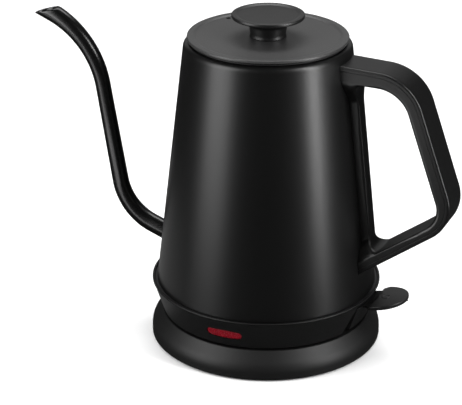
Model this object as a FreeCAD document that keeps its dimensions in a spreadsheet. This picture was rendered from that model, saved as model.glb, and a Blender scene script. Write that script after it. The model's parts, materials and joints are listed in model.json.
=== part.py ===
import FreeCAD, Part
import math
import os
import re
import Sketcher

# A cordless gooseneck kettle on its power base. Millimetres, +Z up, the origin at the centre of the
# base's underside, +X towards the handle and the switch, the spout towards -X.

doc = FreeCAD.newDocument("kettle")
sheet = doc.addObject("Spreadsheet::Sheet", "dims")

sizes = [
    # power base
    ("base_margin", 3.55, "how far the power base reaches out beyond the vessel"),
    ("base_lift", 0.8, "gap between the table and the base shell's rim"),
    ("base_side", 8.6, "top of the base's upright side"),
    ("base_height", 17.2, "height of the seat that the kettle stands on"),
    ("seat_margin", 2.85, "how far the seat's outer edge lies inside the vessel's radius"),
    ("seat_width", 11, "width of the flat seat ring"),
    ("well_depth", 5.2, "depth of the well inside the seat ring"),
    ("base_wall", 2.2, "wall of the base shell"),
    ("base_edge_round", 12, "rounding between the base's side and its slope"),
    ("plate_bottom", 1.4, "underside of the base plate"),
    ("plate_thickness", 2.2, "thickness of the base plate"),
    ("foot_inset", 10, "how far the middle of the rubber foot ring lies inside the base's edge"),
    ("foot_width", 6, "width of the rubber foot ring"),
    ("base_screw_circle", 46, "radius of the circle of base screws"),
    ("screw_radius", 1.5, "shank radius of the case screws"),
    ("screw_head_radius", 2.8, "head radius of the case screws"),
    ("screw_head_height", 1.2, "head height of the case screws"),
    ("outlet_radius", 3.7, "radius of the cord outlet"),
    ("outlet_height", 7.4, "height of the cord outlet's middle"),
    ("clamp_reach", 54, "distance of the cord clamp from the middle"),
    # cordless connector
    ("tower_radius", 16.2, "radius of the connector tower"),
    ("tower_top", 28, "top of the connector tower"),
    ("pin_radius", 1.7, "radius of the kettle's live pin"),
    ("ring_radius", 8.2, "middle radius of the kettle's neutral ring"),
    ("earth_radius", 12.4, "middle radius of the kettle's earth ring"),
    ("ring_wall", 1.4, "wall of the connector rings"),
    ("slot_gap", 0.5, "gap each side of a connector ring in its slot"),
    ("contact_gap", 0.3, "gap between parts of the two connector halves"),
    # vessel
    ("vessel_bottom", 36.6, "lower edge of the vessel wall"),
    ("vessel_radius", 66.45, "outer radius of the vessel at its lower edge"),
    ("vessel_top_radius", 49.23231, "outer radius of the vessel's cone at the height of its rim"),
    ("vessel_wall", 0.9, "sheet thickness of the vessel"),
    ("crest_height", 187.5, "height of the vessel's rolled rim"),
    ("shoulder_round", 3.8, "outer rounding of the rolled rim"),
    ("neck_round", 1.9, "inner rounding of the rolled rim"),
    ("neck_length", 8, "length of the rim's lip down into the vessel"),
    ("floor_height", 41.8, "top of the vessel floor"),
    ("weld_gap", 0.05, "gap left between pieces welded or clamped together"),
    ("plate_radius", 37, "radius of the heater plate"),
    ("heater_thickness", 2.5, "thickness of the heater plate"),
    ("element_circle", 31, "middle radius of the heating element"),
    ("element_radius", 3.2, "radius of the heating element's sheath"),
    ("tube_place", 44, "distance of the steam tube from the middle"),
    ("tube_radius", 3.5, "outer radius of the steam tube"),
    ("tube_wall", 0.5, "wall of the steam tube"),
    ("tube_bottom", 34, "lower end of the steam tube"),
    ("tube_drop", 16.5, "how far the steam tube ends below the vessel's rim"),
    # skirt
    ("skirt_bottom", 18.4, "lower edge of the skirt"),
    ("skirt_margin", 3.35, "how far the skirt's lower edge lies inside the vessel's radius"),
    ("skirt_top", 37.5, "top of the skirt's lip"),
    ("lip_margin", 3.05, "how far the skirt's lip reaches out beyond the vessel"),
    ("skirt_wall", 2.0, "wall of the skirt"),
    ("lip_wall", 1.6, "thickness of the skirt's lip"),
    ("shelf_height", 35.0, "top of the shelf that carries the vessel"),
    ("shelf_thickness", 1.4, "thickness of that shelf"),
    ("shelf_radius", 44, "inner radius of that shelf"),
    ("cover_thickness", 2.4, "thickness of the kettle's bottom cover"),
    ("bottom_screw_circle", 48, "radius of the circle of bottom screws"),
    ("boss_radius", 3.4, "radius of the screw bosses"),
    ("notch_half_width", 19.5, "half the width of the notch for the switch"),
    # switch
    ("hinge_reach", 56, "distance of the switch's hinge from the middle"),
    ("hinge_height", 27, "height of the switch's hinge"),
    ("hinge_pin_radius", 1.5, "radius of the hinge pin"),
    ("hinge_gap", 0.06, "running gap round the hinge pin"),
    ("paddle_half_width", 15, "half the width of the switch paddle"),
    ("paddle_margin", 9.55, "how far the middle of the paddle's round end lies beyond the vessel"),
    ("paddle_slope", 0.178, "rise of the paddle per millimetre outward"),
    ("paddle_root_height", 34.8, "top of the paddle where it leaves the skirt"),
    ("paddle_thickness", 2.6, "thickness of the paddle"),
    ("apron_half_width", 17.7, "half the width of the apron below the paddle"),
    ("rod_place", 36.8, "distance of the push rod from the middle"),
    ("rod_radius", 1.5, "radius of the push rod"),
    ("switch_turn", 8, "tilt of the pressed switch in degrees"),
    ("lens_radius", 2.88, "radius of the lamp lens's round ends"),
    ("lens_reach", 8, "distance of those ends from the lens's middle"),
    # handle
    ("handle_half_width", 11.8, "half the width of the handle"),
    ("strap_half_width", 5, "half the width of the strap along the vessel"),
    ("strap_depth", 6, "how far the strap stands off the vessel"),
    ("arm_drop", 6, "how far the upper arm's top lies below the vessel's rim"),
    ("arm_slope", 0.044, "fall of the upper arm per millimetre outward"),
    ("grip_margin", 49.15, "distance of the grip's outer face from the vessel's radius, at grip_drop"),
    ("grip_drop", 75.3, "depth below the vessel's rim at which grip_margin is measured"),
    ("grip_slope", 0.353, "how far the grip leans out per millimetre down"),
    ("low_height", 85.1, "underside of the lower arm at low_margin"),
    ("low_margin", 41.45, "distance from the vessel's radius at which low_height is measured"),
    ("low_slope", 0.725, "rise of the lower arm per millimetre outward"),
    ("arm_thickness", 9.8, "thickness of the upper arm"),
    ("grip_thickness", 9.2, "thickness of the grip"),
    ("low_thickness", 6.6, "thickness of the lower arm"),
    ("low_bracket_length", 4.9142, "reach of the lower bracket beyond the foot of the lower arm"),
    ("handle_cover_thickness", 2.6, "thickness of the handle's outer cover"),
    ("grip_wall", 2.4, "wall of the grip shell"),
    # spout
    ("spout_root_radius", 5.75, "outer radius of the spout at its root"),
    ("spout_radius", 4.65, "outer radius of the spout's rise"),
    ("mouth_radius", 5.9, "outer radius of the spout at its mouth"),
    ("spout_wall", 0.8, "wall of the spout"),
    ("low_bend_reach", 28.2, "distance of the spout's low bend from the vessel"),
    ("low_bend_rise", 10.8, "height of the low bend over the spout's root"),
    ("low_bend_radius", 33.5, "radius of the low bend"),
    ("high_bend_reach", 46.9, "distance of the spout's high bend from the vessel"),
    ("high_bend_drop", 13.3, "depth of the high bend below the vessel's rim"),
    ("high_bend_radius", 56, "radius of the high bend"),
    ("mouth_reach", 44.65, "distance of the spout's mouth from its high bend"),
    ("mouth_rise", 19.6, "height of the spout's mouth over its high bend"),
    ("mouth_front", 5.1, "distance of the cut mouth's lip from the spout's end"),
    ("mouth_low", 2, "depth of the cut mouth's lip below the vessel's rim"),
    ("mouth_back", 23, "distance of the cut mouth's back from the spout's end"),
    ("mouth_high", 3.4, "height of the cut mouth's back over the vessel's rim"),
    # lid
    ("lid_margin", 1.4588, "how far the lid reaches out beyond the crest of the vessel's rim"),
    ("lid_stand", 3.3, "height of the lid's rim over the vessel's rim"),
    ("lid_sheet", 0.9, "sheet thickness of the lid"),
    ("lid_sink", 0.7, "how far the lid's field lies below its rim"),
    ("pan_sheet", 0.8, "sheet thickness of the lid's inner pan"),
    ("pan_depth", 10, "depth of the lid's inner pan"),
    ("gasket_wall", 0.9, "wall of the lid gasket"),
    ("gasket_gap", 0.3, "gap between the gasket and the vessel's neck"),
    ("vent_radius", 1.5, "radius of the vent hole"),
    ("vent_circle", 40.0, "distance of the vent hole from the middle"),
    ("vent_angle", 148, "direction of the vent hole, degrees from +X"),
    ("knob_radius", 21.4, "radius of the knob"),
    ("knob_height", 12.8, "height of the knob over the lid's rim"),
    ("stem_radius", 10.5, "radius of the knob's stem"),
]
for row, (alias, number, meaning) in enumerate(sizes, 1):
    sheet.set(f"A{row}", meaning)
    sheet.set(f"B{row}", str(number))
    sheet.setAlias(f"B{row}", alias)
doc.recompute()
aliases = {alias for alias, number, meaning in sizes}

zero = "0"
full_turn = 360
pieces = []

# Sizes that follow the vessel, so that the pieces round it keep their fit when it changes.
slant = "sqrt(1 + vessel_taper^2)"
crest_rise = f"(crest_height - shoulder_round * (1 - vessel_taper / {slant}) - vessel_bottom)"
ties = {
    "vessel_taper": "((vessel_radius - vessel_top_radius) / (crest_height - vessel_bottom))",
    "grip_reach": "(vessel_radius + grip_margin)",
    "grip_height": "(crest_height - grip_drop)",
    "low_reach": "(vessel_radius + low_margin)",
    "base_radius": "(vessel_radius + base_margin)",
    "base_top_radius": "(vessel_radius - seat_margin)",
    "foot_circle": "(vessel_radius + base_margin - foot_inset)",
    "skirt_low_radius": "(vessel_radius - skirt_margin)",
    "skirt_top_radius": "(vessel_radius + lip_margin)",
    "paddle_reach": "(vessel_radius + paddle_margin)",
    "crest_radius": f"(vessel_radius - vessel_taper * {crest_rise} - shoulder_round / {slant})",
    "tube_top": "(crest_height - tube_drop)",
    "arm_top": "(crest_height - arm_drop)",
    "lid_top": "(crest_height + lid_stand)",
    "knob_top": "(crest_height + lid_stand + knob_height)",
}
ties["lid_radius"] = f"({ties['crest_radius']} + lid_margin)"


def named(word):
    """A word of an expression as the document knows it."""
    if word in ties:
        return bound(ties[word])
    return "dims." + word if word in aliases else word


def bound(text):
    """An expression on the sheet's sizes, ready for the document."""
    return re.sub(r"[a-z][a-z_]*", lambda found: named(found.group()), text)


def value(text):
    """The number that an expression gives now."""
    return float(sheet.evalExpression(bound(text)))


def new_body(label):
    """An empty body, one for each piece."""
    body = doc.addObject("PartDesign::Body", label)
    body.Label = label
    pieces.append(body)
    return body


def origin_part(body, role):
    return next(o for o in body.Origin.OriginFeatures if o.Role == role)


def new_sketch(body, role, away=zero):
    """A sketch on one of the body's own planes, moved along its normal."""
    sketch = body.newObject("Sketcher::SketchObject", body.Label + "_sketch")
    sketch.AttachmentSupport = [(origin_part(body, role), "")]
    sketch.MapMode = "FlatFace"
    if away != zero:
        sketch.setExpression("AttachmentOffset.Base.z", bound(away))
    return sketch


def tie(sketch, kind, geometry, position, text):
    """Holds one coordinate of a sketch point to an expression."""
    if text == zero:
        axis = -2 if kind == "DistanceX" else -1
        sketch.addConstraint(Sketcher.Constraint("PointOnObject", geometry, position, axis))
        return
    number = sketch.addConstraint(Sketcher.Constraint(kind, -1, 1, geometry, position, value(text)))
    sketch.setExpression(f"Constraints[{number}]", bound(text))


def draw_circle(sketch, across, up, radius):
    centre = FreeCAD.Vector(value(across), value(up), 0)
    circle = Part.Circle(centre, FreeCAD.Vector(0, 0, 1), value(radius))
    geometry = sketch.addGeometry(circle, False)
    tie(sketch, "DistanceX", geometry, 3, across)
    tie(sketch, "DistanceY", geometry, 3, up)
    number = sketch.addConstraint(Sketcher.Constraint("Radius", geometry, value(radius)))
    sketch.setExpression(f"Constraints[{number}]", bound(radius))


def draw(sketch, corners):
    """A closed outline. A corner is (across, up), or (across, up, radius, turn) where an arc leaves it:
    turn is 1 for an arc that turns left on its way to the next corner and -1 for one that turns right."""
    points = [FreeCAD.Vector(value(c[0]), value(c[1]), 0) for c in corners]
    runs = []
    for i, corner in enumerate(corners):
        start = points[i]
        end = points[(i + 1) % len(points)]
        if len(corner) == 2:
            geometry = sketch.addGeometry(Part.LineSegment(start, end), False)
            runs.append((geometry, 1, 2))
            continue
        radius = value(corner[2])
        turn = corner[3]
        chord = end - start
        side = FreeCAD.Vector(-chord.y, chord.x, 0) * (turn / chord.Length)
        centre = (start + end) * 0.5 + side * math.sqrt(max(radius**2 - chord.Length**2 / 4, 0))
        first, last = (start, end) if turn > 0 else (end, start)
        angle_one = math.atan2(first.y - centre.y, first.x - centre.x)
        angle_two = math.atan2(last.y - centre.y, last.x - centre.x)
        if angle_two <= angle_one:
            angle_two += 2 * math.pi
        circle = Part.Circle(centre, FreeCAD.Vector(0, 0, 1), radius)
        geometry = sketch.addGeometry(Part.ArcOfCircle(circle, angle_one, angle_two), False)
        runs.append((geometry, 1, 2) if turn > 0 else (geometry, 2, 1))
        if abs(chord.Length / 2 - radius) < 1e-6:
            # a half circle is fixed by its ends and its centre, in line with them
            level = "DistanceX" if abs(chord.x) < abs(chord.y) else "DistanceY"
            tie(sketch, level, geometry, 3, corner[0] if level == "DistanceX" else corner[1])
            continue
        number = sketch.addConstraint(Sketcher.Constraint("Radius", geometry, radius))
        sketch.setExpression(f"Constraints[{number}]", bound(corner[2]))
    for i, (geometry, start, end) in enumerate(runs):
        other, other_start, other_end = runs[(i + 1) % len(runs)]
        sketch.addConstraint(Sketcher.Constraint("Coincident", geometry, end, other, other_start))
        tie(sketch, "DistanceX", geometry, start, corners[i][0])
        tie(sketch, "DistanceY", geometry, start, corners[i][1])


def box_corners(left, low, right, high):
    return [(left, low), (right, low), (right, high), (left, high)]


def add_turned(body, corners):
    """Adds a profile in the XZ plane, turned about the Z axis."""
    sketch = new_sketch(body, "XZ_Plane")
    draw(sketch, corners)
    feature = body.newObject("PartDesign::Revolution", body.Label + "_turned")
    feature.Profile = sketch
    feature.ReferenceAxis = (sketch, ["V_Axis"])
    feature.Angle = full_turn
    doc.recompute()
    return feature


def cut_turned(body, corners):
    """Cuts a profile in the XZ plane, turned about the Z axis."""
    before = body.Shape.Volume
    sketch = new_sketch(body, "XZ_Plane")
    draw(sketch, corners)
    feature = body.newObject("PartDesign::Groove", body.Label + "_groove")
    feature.Profile = sketch
    feature.ReferenceAxis = (sketch, ["V_Axis"])
    feature.Angle = full_turn
    doc.recompute()
    if body.Shape.Volume > before - 1e-3:
        raise ValueError(body.Label + ": a groove cut nothing")
    return feature


def extend(body, kind, role, away, length, shapes, both_ways=False):
    """Adds or cuts the shapes drawn on a plane, along its normal. A circle is three expressions."""
    sketch = new_sketch(body, role, away)
    for shape in shapes:
        if isinstance(shape, tuple):
            draw_circle(sketch, *shape)
        else:
            draw(sketch, shape)
    feature = body.newObject("PartDesign::" + kind, body.Label + "_" + kind.lower())
    feature.Profile = sketch
    feature.SideType = "Symmetric" if both_ways else "One side"
    feature.setExpression("Length", bound(length))
    return feature


def add_up(body, role, away, length, shapes, both_ways=False):
    feature = extend(body, "Pad", role, away, length, shapes, both_ways)
    doc.recompute()
    return feature


def cut_in(body, role, away, length, shapes, both_ways=False, along_normal=False):
    """Cuts against the plane's normal, or along it, and makes sure that something was cut."""
    before = body.Shape.Volume
    feature = extend(body, "Pocket", role, away, length, shapes, both_ways)
    feature.Reversed = along_normal
    doc.recompute()
    if body.Shape.Volume > before - 1e-3:
        raise ValueError(body.Label + ": a pocket cut nothing")
    return feature


def round_edges(body, radius, chosen):
    """Rounds the edges of the body's last feature that a test chooses."""
    base = body.Tip
    names = [f"Edge{i}" for i, edge in enumerate(base.Shape.Edges, 1) if chosen(edge)]
    feature = body.newObject("PartDesign::Fillet", body.Label + "_round")
    feature.Base = (base, names)
    feature.setExpression("Radius", bound(radius))
    doc.recompute()
    return feature


def repeat_round(body, features, count):
    """Repeats features evenly round the Z axis."""
    pattern = body.newObject("PartDesign::PolarPattern", body.Label + "_repeat")
    pattern.Originals = features
    pattern.Axis = (origin_part(body, "Z_Axis"), [""])
    pattern.Angle = full_turn
    pattern.Occurrences = count
    body.Tip = pattern
    doc.recompute()
    return pattern


def ring_at(edge, radius, height, near=0.05):
    """True for a round edge of this radius and height about the Z axis."""
    curve = edge.Curve
    return (
        isinstance(curve, Part.Circle)
        and abs(curve.Radius - radius) < near
        and abs(curve.Center.z - height) < near
        and abs(curve.Center.x) < near
        and abs(curve.Center.y) < near
    )


# Expressions that several pieces share.


def vessel_out(height):
    """Outer radius of the vessel's straight wall at a height."""
    return f"(vessel_radius - vessel_taper * (({height}) - vessel_bottom))"


def vessel_in(height):
    return f"({vessel_out(height)} - vessel_wall * {slant})"


def skirt_out(height):
    """Outer radius of the skirt's cone at a height."""
    share = f"(({height}) - skirt_bottom) / (skirt_top - skirt_bottom)"
    return f"(skirt_low_radius + (skirt_top_radius - skirt_low_radius) * {share})"


neck_bore = "(crest_radius - neck_round)"
well_floor = "(base_height - well_depth)"
well_radius = "(base_top_radius - seat_width)"
plate_top = "(plate_bottom + plate_thickness)"
boss_height = f"({well_floor} - base_wall - {plate_top} - weld_gap)"
floor_sheet = "vessel_wall"
plate_high = f"(floor_height - {floor_sheet} - weld_gap)"
plate_low = f"({plate_high} - heater_thickness)"
cover_top = "(skirt_bottom + cover_thickness)"
rod_gap = "(contact_gap + 2 * weld_gap)"
root_height = "(floor_height + 2.05 * spout_root_radius)"
neutral_floor = "(base_height - 2 * boss_radius)"
earth_floor = "(base_height - boss_radius)"
lens_height = "(skirt_bottom + 0.44 * (skirt_top - skirt_bottom))"
lens_plane = "(skirt_low_radius - 4 * skirt_wall)"
control_radius = "(tower_radius + 3 * skirt_wall - 1.2)"
recess_top = "(tower_top + 2 * slot_gap)"
web_top = f"({recess_top} + cover_thickness)"
ear_in = "(paddle_half_width / 2)"
ear_out = f"({ear_in} + skirt_wall)"
ear_top = "(hinge_height + 3.4 * hinge_pin_radius)"
disc_place = "(tube_place + tube_radius)"
disc_low = f"({plate_low} - vessel_wall)"
rod_rise = "((hinge_reach - rod_place) * tan(switch_turn))"

# The power base.


def make_base_shell():
    body = new_body("base_shell")
    tower_hole = "(tower_radius + contact_gap)"
    add_turned(body, [
        ("base_radius", "base_lift"),
        ("base_radius", "base_side"),
        ("base_top_radius", "base_height"),
        (well_radius, "base_height"),
        (well_radius, well_floor),
        (tower_hole, well_floor),
        (tower_hole, f"{well_floor} - base_wall"),
        (f"{well_radius} + base_wall", f"{well_floor} - base_wall"),
        (f"{well_radius} + base_wall", "base_height - base_wall"),
        ("base_top_radius - base_wall / 2", "base_height - base_wall"),
        ("base_radius - base_wall", "base_side - base_wall / 2"),
        ("base_radius - base_wall", "base_lift"),
    ])
    side = value("base_radius")
    side_top = value("base_side")
    round_edges(body, "base_edge_round", lambda edge: ring_at(edge, side, side_top))
    seat = value("base_height")
    seat_edge = value("base_top_radius")
    round_edges(body, "base_wall / 3", lambda edge: ring_at(edge, seat_edge, seat))
    foot = value("base_lift")
    round_edges(body, "base_wall / 3", lambda edge: ring_at(edge, side, foot))
    across = "base_screw_circle * cos(45)"
    boss = add_up(body, "XY_Plane", f"{plate_top} + weld_gap", boss_height, [(across, across, "boss_radius")])
    bosses = repeat_round(body, [boss], 4)
    hole = cut_in(body, "XY_Plane", f"{plate_top} + weld_gap", f"{boss_height} + base_wall / 2",
                  [(across, across, "screw_radius + weld_gap")],
                  along_normal=True)
    repeat_round(body, [hole], 4)
    for across in ("-2 * outlet_radius", "2 * outlet_radius"):
        add_up(body, "XY_Plane", "outlet_height - outlet_radius / 5",
               f"{well_floor} - base_wall - outlet_height + outlet_radius / 5",
               [(across, "clamp_reach", "boss_radius")])
        cut_in(body, "XY_Plane", "outlet_height - outlet_radius / 5",
               f"{well_floor} - base_wall - outlet_height",
               [(across, "clamp_reach", "screw_radius + weld_gap")], along_normal=True)
    cut_in(body, "XZ_Plane", "-(base_radius - 3 * base_wall)", "4 * base_wall",
           [(zero, "outlet_height", "outlet_radius")])


def make_base_plate():
    body = new_body("base_plate")
    rim = "(base_radius - base_wall - contact_gap)"
    add_turned(body, [(zero, "plate_bottom"), (rim, "plate_bottom"), (rim, plate_top), (zero, plate_top)])
    across = "base_screw_circle * cos(45)"
    shank = cut_in(body, "XY_Plane", plate_top, "plate_thickness",
                   [(across, across, "screw_radius + contact_gap")])
    repeat_round(body, [shank], 4)
    head = cut_in(body, "XY_Plane", "plate_bottom", "screw_head_height + contact_gap",
                  [(across, across, "screw_head_radius + contact_gap")], along_normal=True)
    repeat_round(body, [head], 4)


def make_base_foot():
    """The ring of rubber that the base stands on."""
    body = new_body("base_foot")
    inner = "(foot_circle - foot_width / 2)"
    outer = "(foot_circle + foot_width / 2)"
    add_turned(body, box_corners(inner, zero, outer, "plate_bottom"))
    foot_edges = [value(inner), value(outer)]
    round_edges(body, "plate_bottom / 4",
                lambda edge: any(ring_at(edge, radius, 0) for radius in foot_edges))


def make_screws(label, circle, turned, head_low, tip, count):
    """Pan-head screws that point up, evenly round the Z axis."""
    body = new_body(label)
    place = (f"{circle} * cos({turned})", f"{circle} * sin({turned})")
    head = add_up(body, "XY_Plane", head_low, "screw_head_height", [(*place, "screw_head_radius")])
    shank_low = f"({head_low} + screw_head_height)"
    shank = add_up(body, "XY_Plane", shank_low, f"{tip} - {shank_low}", [(*place, "screw_radius")])
    drive = cut_in(body, "XY_Plane", head_low, "screw_head_height / 2",
                   [(*place, "screw_radius * 0.8")], along_normal=True)
    repeat_round(body, [head, shank, drive], count)


def make_base_socket():
    body = new_body("base_socket")
    slots = [
        (f"({name} - ring_wall / 2 - slot_gap)", f"({name} + ring_wall / 2 + slot_gap)", depth)
        for name, depth in (("ring_radius", neutral_floor), ("earth_radius", earth_floor))
    ]
    bore = "(pin_radius + 2 * slot_gap)"
    foot = f"({plate_top} + base_lift)"
    flange_top = f"({well_floor} - base_wall - weld_gap)"
    flange = "(tower_radius + 2 * base_wall)"
    corners = [(bore, foot), ("tower_radius", foot), ("tower_radius", f"{flange_top} - base_wall"),
               (flange, f"{flange_top} - base_wall"), (flange, flange_top), ("tower_radius", flange_top),
               ("tower_radius", "tower_top - base_wall / 2"), ("tower_radius - base_wall / 2", "tower_top")]
    for inner, outer, floor in reversed(slots):
        corners += [(outer, "tower_top"), (outer, floor), (inner, floor), (inner, "tower_top")]
    corners += [(bore, "tower_top")]
    add_turned(body, corners)


def make_socket_contact(label, radius, floor):
    """A sprung ring at the bottom of one of the tower's slots."""
    body = new_body(label)
    inner = f"({radius} - ring_wall / 2 - slot_gap / 2)"
    outer = f"({radius} + ring_wall / 2 + slot_gap / 2)"
    add_turned(body, box_corners(inner, floor, outer, f"({floor} + pan_sheet)"))


def make_live_contact():
    body = new_body("socket_live_contact")
    radius = "(pin_radius + slot_gap)"
    low = f"({plate_top} + base_lift)"
    add_turned(body, [(zero, low), (radius, low), (radius, neutral_floor), (zero, neutral_floor)])


def make_cord_clamp():
    body = new_body("cord_clamp")
    high = "(outlet_height - outlet_radius / 5 - weld_gap)"
    low = f"({plate_top} + screw_head_height + contact_gap)"
    half = "(2 * outlet_radius + boss_radius)"
    add_up(body, "XY_Plane", low, f"{high} - {low}",
           [box_corners(f"-{half}", "clamp_reach - boss_radius", half, "clamp_reach + boss_radius")])
    for sign in ("-", ""):
        cut_in(body, "XY_Plane", high, f"{high} - {low}",
               [(f"{sign}2 * outlet_radius", "clamp_reach", "screw_radius + contact_gap")])


def make_cord_clamp_screws():
    body = new_body("cord_clamp_screws")
    low = f"({plate_top} + contact_gap)"
    places = [(f"{sign}2 * outlet_radius", "clamp_reach") for sign in ("-", "")]
    add_up(body, "XY_Plane", low, "screw_head_height", [(*place, "screw_head_radius") for place in places])
    shank_low = f"({low} + screw_head_height)"
    tip = f"({well_floor} - base_wall - outlet_radius / 5 - 2 * contact_gap)"
    add_up(body, "XY_Plane", shank_low, f"{tip} - {shank_low}",
           [(*place, "screw_radius") for place in places])


def make_slot_shutter():
    """The ring that follows the kettle's neutral ring round in the tower's slot."""
    body = new_body("slot_shutter")
    low = f"({neutral_floor} + pan_sheet + contact_gap)"
    add_turned(body, box_corners("(ring_radius - ring_wall / 2)", low, "(ring_radius + ring_wall / 2)",
                                 f"{low} + ring_wall"))


# The vessel.


def make_vessel():
    body = new_body("vessel")
    arc_rise = f"shoulder_round * vessel_taper / {slant}"
    centre = "(crest_height - shoulder_round)"
    inner_rise = f"(shoulder_round - vessel_wall) * vessel_taper / {slant}"
    add_turned(body, [
        ("vessel_radius", "vessel_bottom"),
        (f"crest_radius + shoulder_round / {slant}", f"{centre} + {arc_rise}", "shoulder_round", 1),
        ("crest_radius", "crest_height", "neck_round", 1),
        (neck_bore, "crest_height - neck_round"),
        (neck_bore, "crest_height - neck_round - neck_length"),
        (f"{neck_bore} + vessel_wall", "crest_height - neck_round - neck_length"),
        (f"{neck_bore} + vessel_wall", "crest_height - neck_round", "neck_round - vessel_wall", -1),
        ("crest_radius", "crest_height - vessel_wall", "shoulder_round - vessel_wall", -1),
        (f"crest_radius + (shoulder_round - vessel_wall) / {slant}", f"{centre} + {inner_rise}"),
        (vessel_in("vessel_bottom"), "vessel_bottom"),
    ])
    hole = "spout_radius / 4"
    spread = "spout_radius / 1.9"
    holes = [(zero, root_height, hole)]
    for step in range(6):
        holes.append((f"{spread} * cos({step * 60})", f"{root_height} + {spread} * sin({step * 60})", hole))
    cut_in(body, "YZ_Plane", f"-{vessel_in('floor_height')} + 3 * spout_wall + spout_radius",
           "4 * spout_radius", holes)


def make_vessel_floor():
    body = new_body("vessel_floor")
    low = "(vessel_bottom + vessel_wall)"
    under = f"(floor_height - {floor_sheet})"
    add_turned(body, [
        (zero, under),
        (f"{vessel_in(under)} - weld_gap - {floor_sheet}", under),
        (f"{vessel_in(low)} - weld_gap - {floor_sheet}", low),
        (f"{vessel_in(low)} - weld_gap", low),
        (f"{vessel_in('floor_height')} - weld_gap", "floor_height"),
        (zero, "floor_height"),
    ])
    cut_in(body, "XY_Plane", "floor_height", f"2 * {floor_sheet}",
           [("tube_place", zero, "tube_radius + vessel_wall + weld_gap")])


def make_heater_plate():
    body = new_body("heater_plate")
    add_turned(body, box_corners(zero, plate_low, "plate_radius", plate_high))


def make_heating_element():
    """A sheathed element bent to a C, with its opening towards the spout."""
    element = doc.addObject("Part::Torus", "heating_element")
    element.Label = "heating_element"
    element.setExpression("Radius1", bound("element_circle"))
    element.setExpression("Radius2", bound("element_radius"))
    element.Angle3 = 300
    element.setExpression("Placement.Base.z", bound(f"{plate_low} - element_radius - weld_gap"))
    element.Placement.Rotation = FreeCAD.Rotation(FreeCAD.Vector(0, 0, 1), -150)
    pieces.append(element)


def make_element_terminals():
    body = new_body("element_terminals")
    high = f"({plate_low} - 2 * element_radius - 2 * weld_gap)"
    length = f"({high} - {cover_top} - 2 * base_wall)"
    places = [(f"element_circle * cos({angle})", f"element_circle * sin({angle})") for angle in (145, 215)]
    add_up(body, "XY_Plane", f"{high} - {length}", length, [(*place, "pin_radius") for place in places])


def make_steam_tube():
    body = new_body("steam_tube")
    add_up(body, "XY_Plane", "tube_bottom", "tube_top - tube_bottom",
           [("tube_place", zero, "tube_radius"), ("tube_place", zero, "tube_radius - tube_wall")])


def make_steam_grommet():
    body = new_body("steam_grommet")
    bore = "tube_radius + weld_gap"
    wide = "tube_radius + 3 * vessel_wall"
    under = f"(floor_height - {floor_sheet} - weld_gap)"
    add_up(body, "XY_Plane", f"{under} - 1.5 * vessel_wall", "1.5 * vessel_wall",
           [("tube_place", zero, wide), ("tube_place", zero, bore)])
    add_up(body, "XY_Plane", under, f"{floor_sheet} + 2 * weld_gap",
           [("tube_place", zero, "tube_radius + vessel_wall"), ("tube_place", zero, bore)])
    add_up(body, "XY_Plane", "floor_height + weld_gap", "1.5 * vessel_wall",
           [("tube_place", zero, wide), ("tube_place", zero, bore)])


# The skirt and what it holds.


def make_skirt():
    body = new_body("skirt")
    under = "(shelf_height - shelf_thickness)"
    lip_in = "(skirt_top_radius - lip_wall)"
    add_turned(body, [
        ("skirt_low_radius", "skirt_bottom"),
        ("skirt_top_radius", "skirt_top - lip_wall / 2", "lip_wall / 2", 1),
        (lip_in, "skirt_top - lip_wall / 2"),
        (lip_in, "shelf_height"),
        ("shelf_radius", "shelf_height"),
        ("shelf_radius", under),
        (f"{skirt_out(under)} - skirt_wall", under),
        ("skirt_low_radius - skirt_wall", "skirt_bottom"),
    ])
    boss_low = f"({cover_top} + weld_gap)"
    place = ("bottom_screw_circle * cos(60)", "bottom_screw_circle * sin(60)")
    boss = add_up(body, "XY_Plane", boss_low, f"{under} - {boss_low}", [(*place, "boss_radius")])
    repeat_round(body, [boss], 3)
    hole = cut_in(body, "XY_Plane", boss_low, f"{under} - {boss_low} - vessel_wall",
                  [(*place, "screw_radius + weld_gap")], along_normal=True)
    repeat_round(body, [hole], 3)
    bridge = "(skirt_top - lip_wall)"
    cut_in(body, "XY_Plane", bridge, f"{bridge} - skirt_bottom + 1",
           [box_corners("tube_place - tube_radius - 2 * vessel_wall", "-notch_half_width",
                        "skirt_top_radius + 1", "notch_half_width")])
    cut_in(body, "XZ_Plane", lens_plane, "6 * skirt_wall", [lens_outline("contact_gap")], along_normal=True)


def lens_outline(grown):
    """The lens's pill outline in the XZ plane, grown by a gap."""
    radius = f"(lens_radius + {grown})"
    return [
        ("-lens_reach", f"{lens_height} - {radius}"),
        ("lens_reach", f"{lens_height} - {radius}", radius, 1),
        ("lens_reach", f"{lens_height} + {radius}"),
        ("-lens_reach", f"{lens_height} + {radius}", radius, 1),
    ]


def make_skirt_seal():
    body = new_body("skirt_seal")
    inner = "(vessel_radius - 3 * vessel_wall)"
    outer = "(skirt_top_radius - lip_wall - weld_gap)"
    add_turned(body, box_corners(inner, "shelf_height + weld_gap", outer, "vessel_bottom - weld_gap"))


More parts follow.
